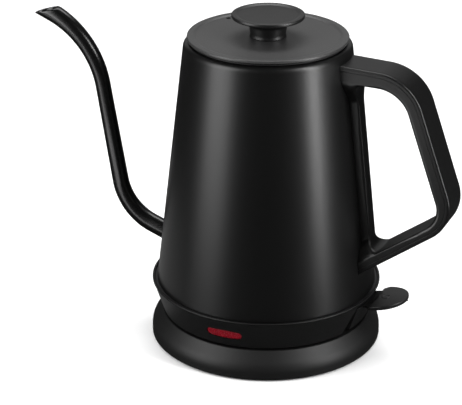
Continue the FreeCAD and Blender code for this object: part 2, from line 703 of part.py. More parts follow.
def make_bottom_cover():
    body = new_body("bottom_cover")
    rim = "(skirt_low_radius - skirt_wall - contact_gap)"
    rest_in = f"({well_radius} + seat_width / 8)"
    rest_out = "(base_top_radius - seat_width / 2)"
    bore = f"({control_radius} + contact_gap)"
    add_turned(body, [
        (bore, "skirt_bottom"),
        (rest_in, "skirt_bottom"),
        (rest_in, "base_height"),
        (rest_out, "base_height"),
        (rest_out, "skirt_bottom"),
        (rim, "skirt_bottom"),
        (rim, cover_top),
        (bore, cover_top),
    ])
    place = ("bottom_screw_circle * cos(60)", "bottom_screw_circle * sin(60)")
    shank = cut_in(body, "XY_Plane", cover_top, "cover_thickness", [(*place, "screw_radius + contact_gap")])
    repeat_round(body, [shank], 3)
    head = cut_in(body, "XY_Plane", "skirt_bottom", "screw_head_height + contact_gap",
                  [(*place, "screw_head_radius + contact_gap")], along_normal=True)
    repeat_round(body, [head], 3)
    cut_in(body, "XY_Plane", cover_top, "cover_thickness + skirt_bottom",
           [box_corners("hinge_reach + hinge_pin_radius", "-(apron_half_width + 1)",
                        "skirt_top_radius", "apron_half_width + 1")])


def make_control_body():
    """The thermostat's moulded body, with the connector's recess below and the switch's ears beside it."""
    body = new_body("control_body")
    recess = "(tower_radius + 1.4 * slot_gap)"
    add_turned(body, [("pin_radius", recess_top), ("pin_radius", web_top), (control_radius, web_top),
                      (control_radius, "skirt_bottom"), (recess, "skirt_bottom"), (recess, recess_top)])
    for radius in ("ring_radius", "earth_radius"):
        cut_turned(body, box_corners(f"({radius} - ring_wall / 2 - weld_gap)", recess_top,
                                     f"({radius} + ring_wall / 2 + weld_gap)", f"{recess_top} + ring_wall"))
    posts = [(zero, f"{sign}0.6 * tower_radius", "0.4 * tower_radius") for sign in ("-", "")]
    add_up(body, "XY_Plane", web_top, f"{disc_low} - weld_gap - {web_top}", posts)
    deck_low = f"({cover_top} + contact_gap)"
    deck_end = "(hinge_reach + 2 * hinge_pin_radius)"
    deck_in = f"({control_radius} - skirt_wall)"
    add_up(body, "XY_Plane", deck_low, "shelf_thickness",
           [box_corners(deck_in, f"-{ear_out}", deck_end, ear_out)])
    for low, high in ((ear_in, ear_out), (f"-{ear_out}", f"-{ear_in}")):
        add_up(body, "XY_Plane", deck_low, f"{ear_top} - {deck_low}",
               [box_corners(f"{disc_place} - tube_radius", low, deck_end, high)])
    guide_low = f"(hinge_height + {rod_rise} + 2 * contact_gap)"
    add_up(body, "XY_Plane", guide_low, "shelf_thickness",
           [box_corners(deck_in, f"-{ear_in} / 2", "rod_place + rod_radius + boss_radius / 3",
                        f"{ear_in} / 2")])
    cut_in(body, "XY_Plane", f"{guide_low} + shelf_thickness", "shelf_thickness",
           [("rod_place", zero, "rod_radius + hinge_gap")])
    cut_in(body, "XZ_Plane", zero, f"3 * {ear_out}",
           [("hinge_reach", "hinge_height", "hinge_pin_radius + weld_gap")], both_ways=True)


def make_connector_pin():
    body = new_body("connector_pin")
    low = f"({neutral_floor} + contact_gap)"
    radius = "(pin_radius - weld_gap)"
    add_turned(body, [(zero, low), (f"{radius} / 2", low), (radius, f"{low} + {radius} / 2"),
                      (radius, web_top), (zero, web_top)])


def make_connector_ring(label, radius, low):
    body = new_body(label)
    inner = f"({radius} - ring_wall / 2)"
    outer = f"({radius} + ring_wall / 2)"
    add_turned(body, box_corners(inner, low, outer, f"{recess_top} + ring_wall - weld_gap"))


def make_discs():
    """The two bimetal discs under the heater plate that cut the power if the kettle boils dry."""
    body = new_body("dry_boil_discs")
    add_up(body, "XY_Plane", disc_low, "vessel_wall / 2",
           [(zero, f"{sign}0.6 * tower_radius", "0.38 * tower_radius") for sign in ("-", "")])


def make_steam_disc():
    body = new_body("steam_disc")
    add_up(body, "XY_Plane", f"{ear_top} + weld_gap", "tube_wall",
           [(disc_place, zero, f"{ear_in} + skirt_wall / 2")])


def make_lamp_lens():
    body = new_body("lamp_lens")
    add_up(body, "XZ_Plane", lens_plane, "6 * skirt_wall", [lens_outline(zero)])
    low = "skirt_bottom"
    high = "shelf_height"
    far = f"{skirt_out(low)} + base_radius"
    cut_turned(body, [(f"{skirt_out(low)} + 4 * hinge_gap", low), (far, low), (far, high),
                      (f"{skirt_out(high)} + 4 * hinge_gap", high)])
    cut_turned(body, [(zero, low), (f"{skirt_out(low)} - 1.5 * skirt_wall", low),
                      (f"{skirt_out(high)} - 1.5 * skirt_wall", high), (zero, high)])


def make_lamp():
    body = new_body("lamp")
    add_up(body, "YZ_Plane", zero, "lip_wall * 6",
           [(f"-({lens_plane} - lip_wall)", lens_height, "lip_wall")], both_ways=True)


def make_lever_pin():
    body = new_body("lever_pin")
    add_up(body, "XZ_Plane", zero, f"2 * {ear_out}", [("hinge_reach", "hinge_height", "hinge_pin_radius")],
           both_ways=True)


def make_switch_lever():
    """Paddle, apron, neck, hub and inner arm in one moulding."""
    body = new_body("switch_lever")
    bottom = "(skirt_bottom + contact_gap)"
    root = "(skirt_low_radius - skirt_wall + contact_gap)"
    high = "(paddle_root_height + 3 * paddle_thickness)"
    add_up(body, "XY_Plane", bottom, f"{high} - {bottom}", [[
        (root, "-paddle_half_width"),
        ("paddle_reach", "-paddle_half_width", "paddle_half_width", 1),
        ("paddle_reach", "paddle_half_width"),
        (root, "paddle_half_width"),
    ]])
    add_up(body, "XY_Plane", bottom, f"paddle_root_height - paddle_thickness - {bottom}",
           [box_corners(root, "-apron_half_width", "skirt_top_radius", "apron_half_width")])

    def paddle_at(place, below=zero):
        return f"(paddle_root_height + paddle_slope * (({place}) - skirt_top_radius) - {below})"

    far = "(paddle_reach + paddle_half_width + 1)"
    cut_in(body, "XZ_Plane", zero, "5 * paddle_half_width", [[
        (f"{root} - 1", paddle_at(f"{root} - 1")),
        (far, paddle_at(far)),
        (far, f"{high} + 1"),
        (f"{root} - 1", f"{high} + 1"),
    ]], both_ways=True)
    under = "paddle_thickness"
    cut_in(body, "XZ_Plane", zero, "5 * paddle_half_width", [[
        (f"{skirt_out(bottom)} - hinge_gap", f"{bottom} - 1"),
        (far, f"{bottom} - 1"),
        (far, paddle_at(far, under)),
        (skirt_out(paddle_at("skirt_top_radius", under)), paddle_at("skirt_top_radius", under)),
    ]], both_ways=True)
    cut_turned(body, [
        (zero, f"{bottom} - 1"),
        (f"{skirt_out(bottom)} - skirt_wall", f"{bottom} - 1"),
        (f"{skirt_out('shelf_height')} - skirt_wall", "shelf_height - paddle_thickness"),
        (zero, "shelf_height - paddle_thickness"),
    ])
    hub = "(hinge_pin_radius + 1.4 * shelf_thickness)"
    neck = f"({ear_in} - contact_gap * 2)"
    add_up(body, "XZ_Plane", zero, f"2 * {neck}", [[
        ("hinge_reach - hinge_pin_radius", f"hinge_height + {hub} * 0.8"),
        ("hinge_reach", "hinge_height - hinge_pin_radius"),
        (f"{root} + skirt_wall", "shelf_height - 3.2 * shelf_thickness"),
        (f"{root} + 2 * skirt_wall", paddle_at(f"{root} + 2 * skirt_wall", "paddle_thickness / 2")),
        (root, paddle_at(root)),
    ]], both_ways=True)
    add_up(body, "XZ_Plane", zero, f"2 * {neck}", [("hinge_reach", "hinge_height", hub)], both_ways=True)
    add_up(body, "XZ_Plane", zero, neck, [[
        ("rod_place - rod_radius", f"hinge_height - {hub} * 0.7"),
        ("hinge_reach", f"hinge_height - {hub} * 0.7"),
        ("hinge_reach", "hinge_height"),
        ("rod_place - rod_radius", "hinge_height"),
    ]], both_ways=True)
    cut_in(body, "XZ_Plane", zero, f"3 * {neck}",
           [("hinge_reach", "hinge_height", "hinge_pin_radius + hinge_gap")], both_ways=True)
    tip = value("paddle_reach + paddle_half_width")
    round_edges(body, "paddle_thickness / 3",
                lambda edge: edge.BoundBox.XMax > tip - 0.5 and edge.BoundBox.YLength > 20)


def make_push_rod():
    body = new_body("push_rod")
    low = f"(hinge_height + {rod_gap})"
    high = f"({plate_low} - {rod_rise} - 2 * contact_gap)"
    add_up(body, "XY_Plane", low, f"{high} - {low}", [("rod_place", zero, "rod_radius")])


# The handle.


def top_line(place, inside):
    """Height of the upper arm's top face, moved in by a distance."""
    fall = f"arm_slope * (({place}) - {vessel_out('arm_top')})"
    return f"(arm_top - {fall} - ({inside}) * sqrt(1 + arm_slope^2))"


def low_line(place, inside):
    """Height of the lower arm's underside, moved in by a distance."""
    climb = f"low_slope * (({place}) - low_reach)"
    return f"(low_height + {climb} + ({inside}) * sqrt(1 + low_slope^2))"


def grip_line(height, inside):
    """Reach of the grip's outer face, moved in by a distance."""
    lean = f"grip_slope * (grip_height - ({height}))"
    return f"(grip_reach + {lean} - ({inside}) * sqrt(1 + grip_slope^2))"


def top_corner(arm_inside, grip_inside):
    """Where the upper arm's line meets the grip's line."""
    level = top_line(zero, arm_inside)
    reach = f"(({grip_line(level, grip_inside)}) / (1 - arm_slope * grip_slope))"
    return (reach, top_line(reach, arm_inside))


def low_corner(low_inside, grip_inside):
    """Where the lower arm's line meets the grip's line."""
    level = low_line(zero, low_inside)
    reach = f"(({grip_line(level, grip_inside)}) / (1 + low_slope * grip_slope))"
    return (reach, low_line(reach, low_inside))


def across_edge(edge, corner, near=0.4):
    """True for an edge along Y that stands at a corner of the handle's outline."""
    box = edge.BoundBox
    return (
        box.XLength < 0.01
        and box.ZLength < 0.01
        and abs(box.Center.x - value(corner[0])) < near
        and abs(box.Center.z - value(corner[1])) < near
    )


inner_place = "(0.6 * vessel_radius)"
bend_round = "3.2 * grip_thickness"
low_bend_round = "2.55 * grip_thickness"
hole_bend_round = f"({bend_round} - grip_thickness)"
hole_low_round = f"({low_bend_round} - grip_thickness)"


def strap_line(height):
    return f"({vessel_out(height)} + strap_depth)"


def handle_outline(inside, start):
    """The handle's filled side outline without its bends, moved in by a distance."""
    return [
        (start, low_line(start, inside)),
        low_corner(inside, inside),
        top_corner(inside, inside),
        (start, top_line(start, inside)),
    ]


def round_bends(body, inside):
    """Rounds both bends of the outline that was moved in by this distance."""
    top = top_corner(inside, inside)
    low = low_corner(inside, inside)
    round_edges(body, f"{bend_round} - ({inside})", lambda edge: across_edge(edge, top))
    round_edges(body, f"{low_bend_round} - ({inside})", lambda edge: across_edge(edge, low))


def cut_vessel_side(body):
    """Shapes the handle's roots to the vessel's cone."""
    low = "(vessel_bottom - vessel_radius / 4)"
    cut_turned(body, [
        (zero, low),
        (f"{vessel_out(low)} + weld_gap", low),
        (f"{vessel_out('crest_height')} + weld_gap", "crest_height"),
        (zero, "crest_height"),
    ])


def make_handle_grip():
    """The inner shell: both flanks, the faces round the finger opening, and the strap along the vessel."""
    body = new_body("handle_grip")
    cover = "handle_cover_thickness"
    add_up(body, "XZ_Plane", zero, "2 * handle_half_width",
           [handle_outline(cover, inner_place)], both_ways=True)
    round_bends(body, cover)
    hole = [top_corner("arm_thickness", "grip_thickness"), low_corner("low_thickness", "grip_thickness")]
    high = top_line(vessel_out("arm_top"), "arm_thickness")
    strap_top = (strap_line(high), high)
    strap_place = strap_line("grip_height - low_thickness * 7")
    strap_low = (strap_place, low_line(strap_place, "low_thickness"))
    cut_in(body, "XZ_Plane", zero, "3 * handle_half_width",
           [[strap_low, hole[1], hole[0], strap_top]], both_ways=True)
    round_edges(body, hole_bend_round, lambda edge: across_edge(edge, hole[0]))
    round_edges(body, hole_low_round, lambda edge: across_edge(edge, hole[1]))
    for corner in (strap_top, strap_low):
        round_edges(body, "strap_half_width", lambda edge: across_edge(edge, corner))
    waist_low = f"({strap_low[1]} + 2 * grip_thickness)"
    waist_high = f"({high} - grip_thickness)"
    for side in ("", "-"):
        cut_in(body, "XZ_Plane", f"{side}strap_half_width", "2 * handle_half_width", [[
            (inner_place, f"{waist_low} + grip_thickness / 2"),
            (f"{strap_line(waist_low)} + strap_half_width", f"{waist_low} - grip_thickness"),
            (f"{strap_line(waist_high)} + strap_half_width", f"{waist_high} + grip_thickness / 2"),
            (inner_place, f"{waist_high} - grip_thickness / 2"),
        ]], along_normal=side == "")
    cut_vessel_side(body)
    floor_arm = "arm_thickness - grip_wall"
    floor_grip = "grip_thickness - grip_wall"
    floor_low = "low_thickness - grip_wall"
    start = f"{vessel_out('arm_top')} - grip_wall"
    finish = f"({strap_place} + arm_thickness)"
    cut_in(body, "XZ_Plane", zero, "2 * (handle_half_width - grip_wall)", [[
        (start, top_line(start, floor_arm)),
        top_corner(floor_arm, floor_grip),
        low_corner(floor_low, floor_grip),
        (finish, low_line(finish, floor_low)),
        (finish, low_line(finish, zero)),
        low_corner(zero, zero),
        top_corner(zero, zero),
        (start, top_line(start, zero)),
    ]], both_ways=True)
    cut_in(body, "XZ_Plane", zero, f"2 * ({bracket_half} + contact_gap)",
           [box_corners(f"{vessel_out(low_bracket_low)} - vessel_wall", f"{low_bracket_low} - contact_gap",
                        f"{low_bracket_end} + contact_gap", f"{low_bracket_high} + contact_gap")],
           both_ways=True)
    cut_in(body, "XY_Plane", f"{top_bracket_low} + contact_gap", "2 * arm_thickness",
           [(top_screw_place, zero, "screw_radius + contact_gap")])
    cut_in(body, "XY_Plane", top_head_high, "2 * arm_thickness",
           [(top_screw_place, zero, "screw_head_radius + contact_gap")])
    cut_in(body, "XY_Plane", f"{low_bracket_low} + contact_gap", "2 * arm_thickness",
           [(low_screw_place, zero, "screw_radius + contact_gap")])
    cut_in(body, "XY_Plane", low_head_high, "2 * arm_thickness",
           [(low_screw_place, zero, "screw_head_radius + contact_gap")])


bracket_half = "(0.6 * strap_half_width)"
top_bracket_low = f"({top_line(vessel_out('arm_top'), 'arm_thickness - grip_wall')} + contact_gap)"
top_bracket_end = f"({vessel_out('arm_top')} + 1.8 * arm_thickness)"
top_bracket_high = f"({top_line(top_bracket_end, 'handle_cover_thickness')} - contact_gap)"
top_screw_place = f"({vessel_out('arm_top')} + 1.25 * arm_thickness)"
top_head_high = f"({top_line(top_screw_place, 'arm_thickness')} + screw_head_height)"
low_root = f"({vessel_out(low_line(zero, zero))} / (1 + low_slope * vessel_taper))"
low_bracket_end = f"({low_root} + low_bracket_length)"
low_bracket_low = f"({low_line(low_bracket_end, 'handle_cover_thickness')} + contact_gap)"
low_bracket_high = f"({low_bracket_low} + 0.5 * low_thickness)"
low_screw_place = f"({low_bracket_end} - low_thickness * 0.35)"
low_head_high = f"({low_bracket_low} - grip_wall / 2)"


def make_handle_cover():
    """The outer shell, a band over the back of the grip from root to root."""
    body = new_body("handle_cover")
    add_up(body, "XZ_Plane", zero, "2 * handle_half_width",
           [handle_outline(zero, inner_place)], both_ways=True)
    inside = "handle_cover_thickness - weld_gap"
    cut_in(body, "XZ_Plane", zero, "3 * handle_half_width",
           [handle_outline(inside, f"{inner_place} - 1")], both_ways=True)
    round_bends(body, inside)
    round_bends(body, zero)
    cut_vessel_side(body)
    cut_in(body, "XY_Plane", low_head_high, "2 * arm_thickness",
           [(low_screw_place, zero, "screw_head_radius + contact_gap")])
    cut_in(body, "XY_Plane", low_bracket_low, "2 * arm_thickness",
           [(low_screw_place, zero, "screw_radius + contact_gap")])


def make_handle_bracket(label, low, high, end, screw_place):
    """A steel block welded to the vessel inside one of the handle's roots, bored for a handle screw."""
    body = new_body(label)
    add_up(body, "XZ_Plane", zero, f"2 * {bracket_half}",
           [box_corners(inner_place, low, end, high)], both_ways=True)
    cut_in(body, "XY_Plane", high, f"{high} - {low}", [(screw_place, zero, "screw_radius + weld_gap")])
    cut_vessel_side(body)


def make_handle_screws():
    body = new_body("handle_screws")
    for place, head_high, tip in ((top_screw_place, top_head_high, f"({top_bracket_high} - contact_gap)"),
                                  (low_screw_place, low_head_high, f"({low_bracket_high} - contact_gap)")):
        add_up(body, "XY_Plane", f"{head_high} - screw_head_height", "screw_head_height",
               [(place, zero, "screw_head_radius")])
        add_up(body, "XY_Plane", head_high, f"{tip} - ({head_high})", [(place, zero, "screw_radius")])


# The spout.


def bent_path(corners, radii):
    """Straight runs joined by tangent arcs, as a wire."""
    edges = []
    start = corners[0]
    for before, corner, after, radius in zip(corners, corners[1:], corners[2:], radii):
        back = (before - corner).normalize()
        onward = (after - corner).normalize()
        half = back.getAngle(onward) / 2
        reach = radius / math.tan(half)
        middle = (back + onward).normalize()
        first = corner + back * reach
        last = corner + onward * reach
        top = corner + middle * (radius / math.sin(half) - radius)
        edges.append(Part.LineSegment(start, first).toShape())
        edges.append(Part.Arc(first, top, last).toShape())
        start = last
    edges.append(Part.LineSegment(start, corners[-1]).toShape())
    return Part.Wire(edges)


def swept(path, radii):
    """A round tube along the path, with one radius for each joint between its runs."""
    shell = Part.BRepOffsetAPI.MakePipeShell(path)
    stations = [(path.Edges[0], 0)] + [(edge, 1) for edge in path.Edges]
    for (edge, end), radius in zip(stations, radii):
        at = edge.ParameterRange[end]
        section = Part.Circle(edge.valueAt(at), edge.tangentAt(at), radius)
        shell.add(Part.Wire(section.toShape()))
    shell.build()
    shell.makeSolid()
    return shell.shape()


def make_spout():
    """A gooseneck tube, its root fitted to the vessel and its mouth cut to a pouring lip."""
    taper = "(spout_radius / 12)"

    def spot(reach, height):
        return FreeCAD.Vector(-value(reach), 0, value(height))

    root = spot(f"{vessel_in('floor_height')} - 2 * vessel_wall", f"{root_height} - vessel_wall")
    low_bend = spot("vessel_radius + low_bend_reach", f"{root_height} + low_bend_rise")
    high_reach = "vessel_radius + high_bend_reach"
    high_bend = spot(high_reach, "crest_height - high_bend_drop")
    end_reach = f"{high_reach} + mouth_reach"
    end = spot(end_reach, "crest_height - high_bend_drop + mouth_rise")
    bends = [value("low_bend_radius"), value("high_bend_radius")]
    path = bent_path([root, low_bend, high_bend, end], bends)
    widths = ["spout_root_radius", "spout_root_radius", f"spout_radius + {taper}", "spout_radius",
              f"mouth_radius - {taper}", "mouth_radius"]
    outer = swept(path, [value(width) for width in widths])
    inner = swept(path, [value(width) - value("spout_wall") for width in widths])
    tube = outer.cut(inner)
    inside = Part.makeCone(value("vessel_radius + weld_gap"), value("vessel_top_radius + weld_gap"),
                           value("crest_height - vessel_bottom"),
                           FreeCAD.Vector(0, 0, value("vessel_bottom")))
    tube = tube.cut(inside)
    lip = spot(f"{end_reach} - mouth_front", "crest_height - mouth_low")
    back = spot(f"{end_reach} - mouth_back", "crest_height + mouth_high")
    along = back - lip
    reach = value("4 * mouth_radius")
    up = FreeCAD.Vector(0, 0, 2 * reach)
    low = lip - along * 2
    high = back + along * 0.4
    above = Part.makePolygon([low, high, high + up, low + up, low])
    cutter = Part.Face(above).extrude(FreeCAD.Vector(0, 2 * reach, 0))
    cutter.translate(FreeCAD.Vector(0, -reach, 0))
    spout = doc.addObject("Part::Feature", "spout_tube")
    spout.Label = "spout_tube"
    spout.Shape = max(tube.cut(cutter).Solids, key=lambda solid: solid.Volume)
    pieces.append(spout)


# The lid.

field_top = "(lid_top - lid_sink)"
pan_high = f"({field_top} - lid_sheet - weld_gap)"
pan_low = f"({pan_high} - pan_sheet)"
gasket_out = f"({neck_bore} - gasket_gap)"
pan_out = f"({gasket_out} - gasket_wall)"
vent_place = ("vent_circle * cos(vent_angle)", "vent_circle * sin(vent_angle)")


def make_lid_cover():
    body = new_body("lid_cover")
    bead_in = "(lid_radius - 4 * lid_sheet)"
    under = f"({field_top} - lid_sheet)"
    add_turned(body, [
        (zero, under),
        (f"{bead_in} - lid_sheet / 2", under),
        (f"{bead_in} + lid_sheet / 2", "lid_top - lid_sheet"),
        ("lid_radius - lid_sheet", "lid_top - lid_sheet"),
        ("lid_radius - lid_sheet", "lid_top - 1.7 * lid_sheet"),
        ("lid_radius", "lid_top - 1.7 * lid_sheet"),
        ("lid_radius", "lid_top - 0.8 * lid_sheet", "0.8 * lid_sheet", 1),
        ("lid_radius - 0.8 * lid_sheet", "lid_top"),
        (bead_in, "lid_top"),
        (f"{bead_in} - lid_sheet", field_top),
        (zero, field_top),
    ])
    cut_in(body, "XY_Plane", "lid_top", "2 * lid_sheet + lid_sink",
           [(zero, zero, "screw_radius + contact_gap"), (*vent_place, "vent_radius")])


def make_lid_pan():
    body = new_body("lid_pan")
    plate = "(crest_radius - vessel_wall)"
    add_turned(body, [
        (zero, pan_low),
        (f"{pan_out} - pan_sheet", pan_low),
        (f"{pan_out} - pan_sheet", f"{pan_low} - pan_depth"),
        (pan_out, f"{pan_low} - pan_depth"),
        (pan_out, pan_low),
        (plate, pan_low),
        (plate, pan_high),
        (zero, pan_high),
    ])
    cut_in(body, "XY_Plane", pan_high, "2 * pan_sheet",
           [(zero, zero, "screw_radius + contact_gap"), (*vent_place, "vent_radius")])


def make_lid_gasket():
    body = new_body("lid_gasket")
    seat = "(crest_height + 2 * contact_gap / 3)"
    add_turned(body, [
        (f"{pan_out} + weld_gap", "crest_height - 0.7 * pan_depth"),
        (gasket_out, "crest_height - 0.7 * pan_depth"),
        (gasket_out, seat),
        ("crest_radius", seat),
        ("crest_radius", f"{pan_low} - weld_gap"),
        (f"{pan_out} + weld_gap", f"{pan_low} - weld_gap"),
    ])


def make_lid_knob():
    body = new_body("lid_knob")
    foot = f"({field_top} + weld_gap)"
    add_turned(body, [
        (zero, foot),
        ("stem_radius", foot),
        ("stem_radius", f"{foot} + 2.2", "knob_radius * 0.72", -1),
        ("knob_radius - 1.2", "knob_top - 2.5"),
        ("knob_radius", "knob_top - 1.7"),
        ("knob_radius", "knob_top - 0.8", "0.8", 1),
        ("knob_radius - 0.8", "knob_top"),
        ("knob_radius - 1.8", "knob_top"),
        ("knob_radius - 3", "knob_top - 0.7", "knob_radius * 12", -1),
        (zero, "knob_top - 1.0"),
    ])
    cut_in(body, "XY_Plane", foot, "knob_top - lid_top - 4", [(zero, zero, "screw_radius + weld_gap")],
           along_normal=True)


def make_lid_screw():
    body = new_body("lid_screw")
    washer_low = f"({pan_low} - 2 * weld_gap - pan_sheet)"
    head = f"({washer_low} - weld_gap - screw_head_height)"
    add_turned(body, [
        (zero, head),
        ("screw_head_radius", head),
        ("screw_head_radius", f"{head} + screw_head_height"),
        ("screw_radius", f"{head} + screw_head_height"),
        ("screw_radius", "knob_top - 5"),
        (zero, "knob_top - 5"),
    ])


def make_lid_washer():
    body = new_body("lid_washer")
    high = f"({pan_low} - weld_gap)"
    add_turned(body, box_corners("(screw_radius + weld_gap)", f"({high} - pan_sheet)",
                                 "(2 * screw_head_radius)", high))


make_base_shell()
make_base_plate()
make_base_foot()
make_screws("base_screws", "base_screw_circle", "45", "(plate_bottom + weld_gap)",
            f"({well_floor} - base_wall)", 4)
make_base_socket()
make_live_contact()
make_socket_contact("socket_neutral_contact", "ring_radius", neutral_floor)
make_socket_contact("socket_earth_contact", "earth_radius", earth_floor)
make_cord_clamp()
make_cord_clamp_screws()
make_slot_shutter()
make_vessel()
make_vessel_floor()
make_heater_plate()
make_heating_element()
make_element_terminals()
make_steam_tube()
make_steam_grommet()
make_skirt()
make_skirt_seal()
make_bottom_cover()
make_screws("bottom_screws", "bottom_screw_circle", "60", "(skirt_bottom + contact_gap)",
            "(shelf_height - shelf_thickness - 2 * vessel_wall)", 3)
make_control_body()
make_connector_pin()
make_connector_ring("connector_ring", "ring_radius",
                    f"({neutral_floor} + pan_sheet + ring_wall + 2 * contact_gap)")
make_connector_ring("connector_earth_ring", "earth_radius", f"({earth_floor} + pan_sheet + contact_gap)")
make_discs()
make_steam_disc()
make_lamp_lens()
make_lamp()
make_lever_pin()
make_switch_lever()
make_push_rod()
make_handle_grip()
make_handle_cover()
make_handle_bracket("handle_bracket_top", top_bracket_low, top_bracket_high, top_bracket_end,
                    top_screw_place)
make_handle_bracket("handle_bracket_bottom", low_bracket_low, low_bracket_high, low_bracket_end,
                    low_screw_place)
make_handle_screws()
make_spout()
make_lid_cover()
make_lid_pan()
make_lid_gasket()
make_lid_knob()
make_lid_screw()
make_lid_washer()

doc.recompute()
for item in doc.Objects:
    if "Invalid" in item.State or "Error" in item.State:
        raise ValueError(f"{item.Label}: {item.State}")
for piece in pieces:
    if piece.Shape.isNull() or not piece.Shape.isValid() or not piece.Shape.Solids:
        raise ValueError(f"{piece.Label}: not a valid solid")

os.makedirs("parts", exist_ok=True)
for piece in pieces:
    piece.Shape.exportStep(f"parts/{piece.Label}.step")
print(len(pieces), "pieces")
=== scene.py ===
import json
import math
import bmesh
import bpy
import numpy as np
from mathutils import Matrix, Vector


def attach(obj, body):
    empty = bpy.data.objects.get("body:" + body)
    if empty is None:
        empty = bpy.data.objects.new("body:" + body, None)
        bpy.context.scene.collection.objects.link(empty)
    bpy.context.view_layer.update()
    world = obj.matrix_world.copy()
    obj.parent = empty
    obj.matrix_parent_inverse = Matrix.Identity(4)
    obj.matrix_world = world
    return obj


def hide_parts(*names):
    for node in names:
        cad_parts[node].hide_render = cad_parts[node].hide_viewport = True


# A black gooseneck kettle on its power base. Shapes are worked out in millimetres and stored in metres.
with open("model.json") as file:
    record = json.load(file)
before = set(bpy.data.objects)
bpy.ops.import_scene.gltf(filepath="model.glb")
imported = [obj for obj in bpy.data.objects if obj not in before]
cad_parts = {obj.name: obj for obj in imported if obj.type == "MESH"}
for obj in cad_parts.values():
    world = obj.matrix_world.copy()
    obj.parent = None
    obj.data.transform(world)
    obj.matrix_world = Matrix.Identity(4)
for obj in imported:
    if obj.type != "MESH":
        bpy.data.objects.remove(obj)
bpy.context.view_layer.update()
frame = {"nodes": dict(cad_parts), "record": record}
mm = 0.001
fullTurn = 2 * math.pi
print("frame loaded:", len(frame["nodes"]), "CAD nodes")


def rounded(corners, perArc=7, closed=True, guard=0.3):
    # Outline through corners (a, b, radius): each radius is a tangent arc, and a guard point stands a
    # little before and after each arc, so that the shading of the flats stays flat.
    spots = np.array([c[:2] for c in corners], float)
    out = []
    for i, corner in enumerate(corners):
        if not closed and i in (0, len(corners) - 1):
            out.append(spots[i])
            continue
        radius = corner[2] if len(corner) > 2 else 0
        back = spots[i - 1] - spots[i]
        onward = spots[(i + 1) % len(spots)] - spots[i]
        backLength = np.linalg.norm(back)
        onwardLength = np.linalg.norm(onward)
        back = back / backLength
        onward = onward / onwardLength
        if radius == 0:
            near = min(guard, backLength / 3, onwardLength / 3)
            out += [spots[i] + back * near, spots[i], spots[i] + onward * near]
            continue
        half = math.acos(np.clip(back @ onward, -1, 1)) / 2
        reach = radius / math.tan(half)
        middle = (back + onward) / np.linalg.norm(back + onward)
        centre = spots[i] + middle * radius / math.sin(half)
        first = spots[i] + back * reach - centre
        last = spots[i] + onward * reach - centre
        swing = math.pi - 2 * half
        at = np.linspace(0, 1, perArc)[:, None]
        arc = (np.sin((1 - at) * swing) * first + np.sin(at * swing) * last) / math.sin(swing)
        out.append(centre + first + back * guard)
        out += list(centre + arc)
        out.append(centre + last + onward * guard)
    return np.array(out)


def gridPiece(name, points, closeRows=False, closeColumns=True, capEnds=False, sharp=38):
    # A surface from a grid of points in millimetres, rows by columns, with quads between neighbours.
    # Ends are closed by one face each where asked, doubles at poles are merged, and faces point outwards.
    rows, columns = points.shape[:2]
    index = np.arange(rows * columns).reshape(rows, columns)
    down = np.concatenate([index, index[:1]]) if closeRows else index
    both = np.concatenate([down, down[:, :1]], axis=1) if closeColumns else down
    quads = np.stack([both[:-1, :-1], both[:-1, 1:], both[1:, 1:], both[1:, :-1]], axis=-1).reshape(-1, 4)
    mesh = bpy.data.meshes.new(name)
    mesh.from_pydata((points.reshape(-1, 3) * mm).tolist(), [], quads.tolist())
    work = bmesh.new()
    work.from_mesh(mesh)
    if capEnds:
        work.verts.ensure_lookup_table()
        ends = (index[0], index[-1]) if closeColumns else (index[:, 0], index[:, -1])
        for ring in ends:
            work.faces.new([work.verts[i] for i in ring])
    bmesh.ops.remove_doubles(work, verts=work.verts, dist=1e-6)
    bmesh.ops.dissolve_degenerate(work, edges=work.edges, dist=1e-7)
    bmesh.ops.recalc_face_normals(work, faces=work.faces)
    if work.calc_volume(signed=True) < 0:
        bmesh.ops.reverse_faces(work, faces=work.faces)
    work.to_mesh(mesh)
    work.free()
    mesh.polygons.foreach_set("use_smooth", np.ones(len(mesh.polygons), bool))
    mesh.set_sharp_from_angle(angle=math.radians(sharp))
    piece = bpy.data.objects.new(name, mesh)
    bpy.context.scene.collection.objects.link(piece)
    return piece


def turned(name, corners, steps=256, perArc=7, closed=True, sharp=38):
    # Surface of revolution: the profile's (radius, height) goes round Z in equal steps.
    profile = rounded(corners, perArc, closed)
    angle = np.arange(steps) / steps * fullTurn
    points = np.stack([
        profile[:, :1] * np.cos(angle),
        profile[:, :1] * np.sin(angle),
        np.repeat(profile[:, 1:], steps, axis=1),
    ], axis=-1)
    return gridPiece(name, points, closeRows=closed, sharp=sharp)


def rod(name, start, finish, radius, steps=48):
    # A plain round bar from one point to another, used as a cutter or a pin.
    start = np.array(start, float)
    finish = np.array(finish, float)
    axis = (finish - start) / np.linalg.norm(finish - start)
    side = np.cross(axis, [0.0, 0.0, 1.0] if abs(axis[2]) < 0.9 else [1.0, 0.0, 0.0])
    side = side / np.linalg.norm(side)
    other = np.cross(axis, side)
    angle = np.arange(steps) / steps * fullTurn
    ring = radius * (np.cos(angle)[:, None] * side + np.sin(angle)[:, None] * other)
    return gridPiece(name, np.stack([start + ring, finish + ring]), capEnds=True)


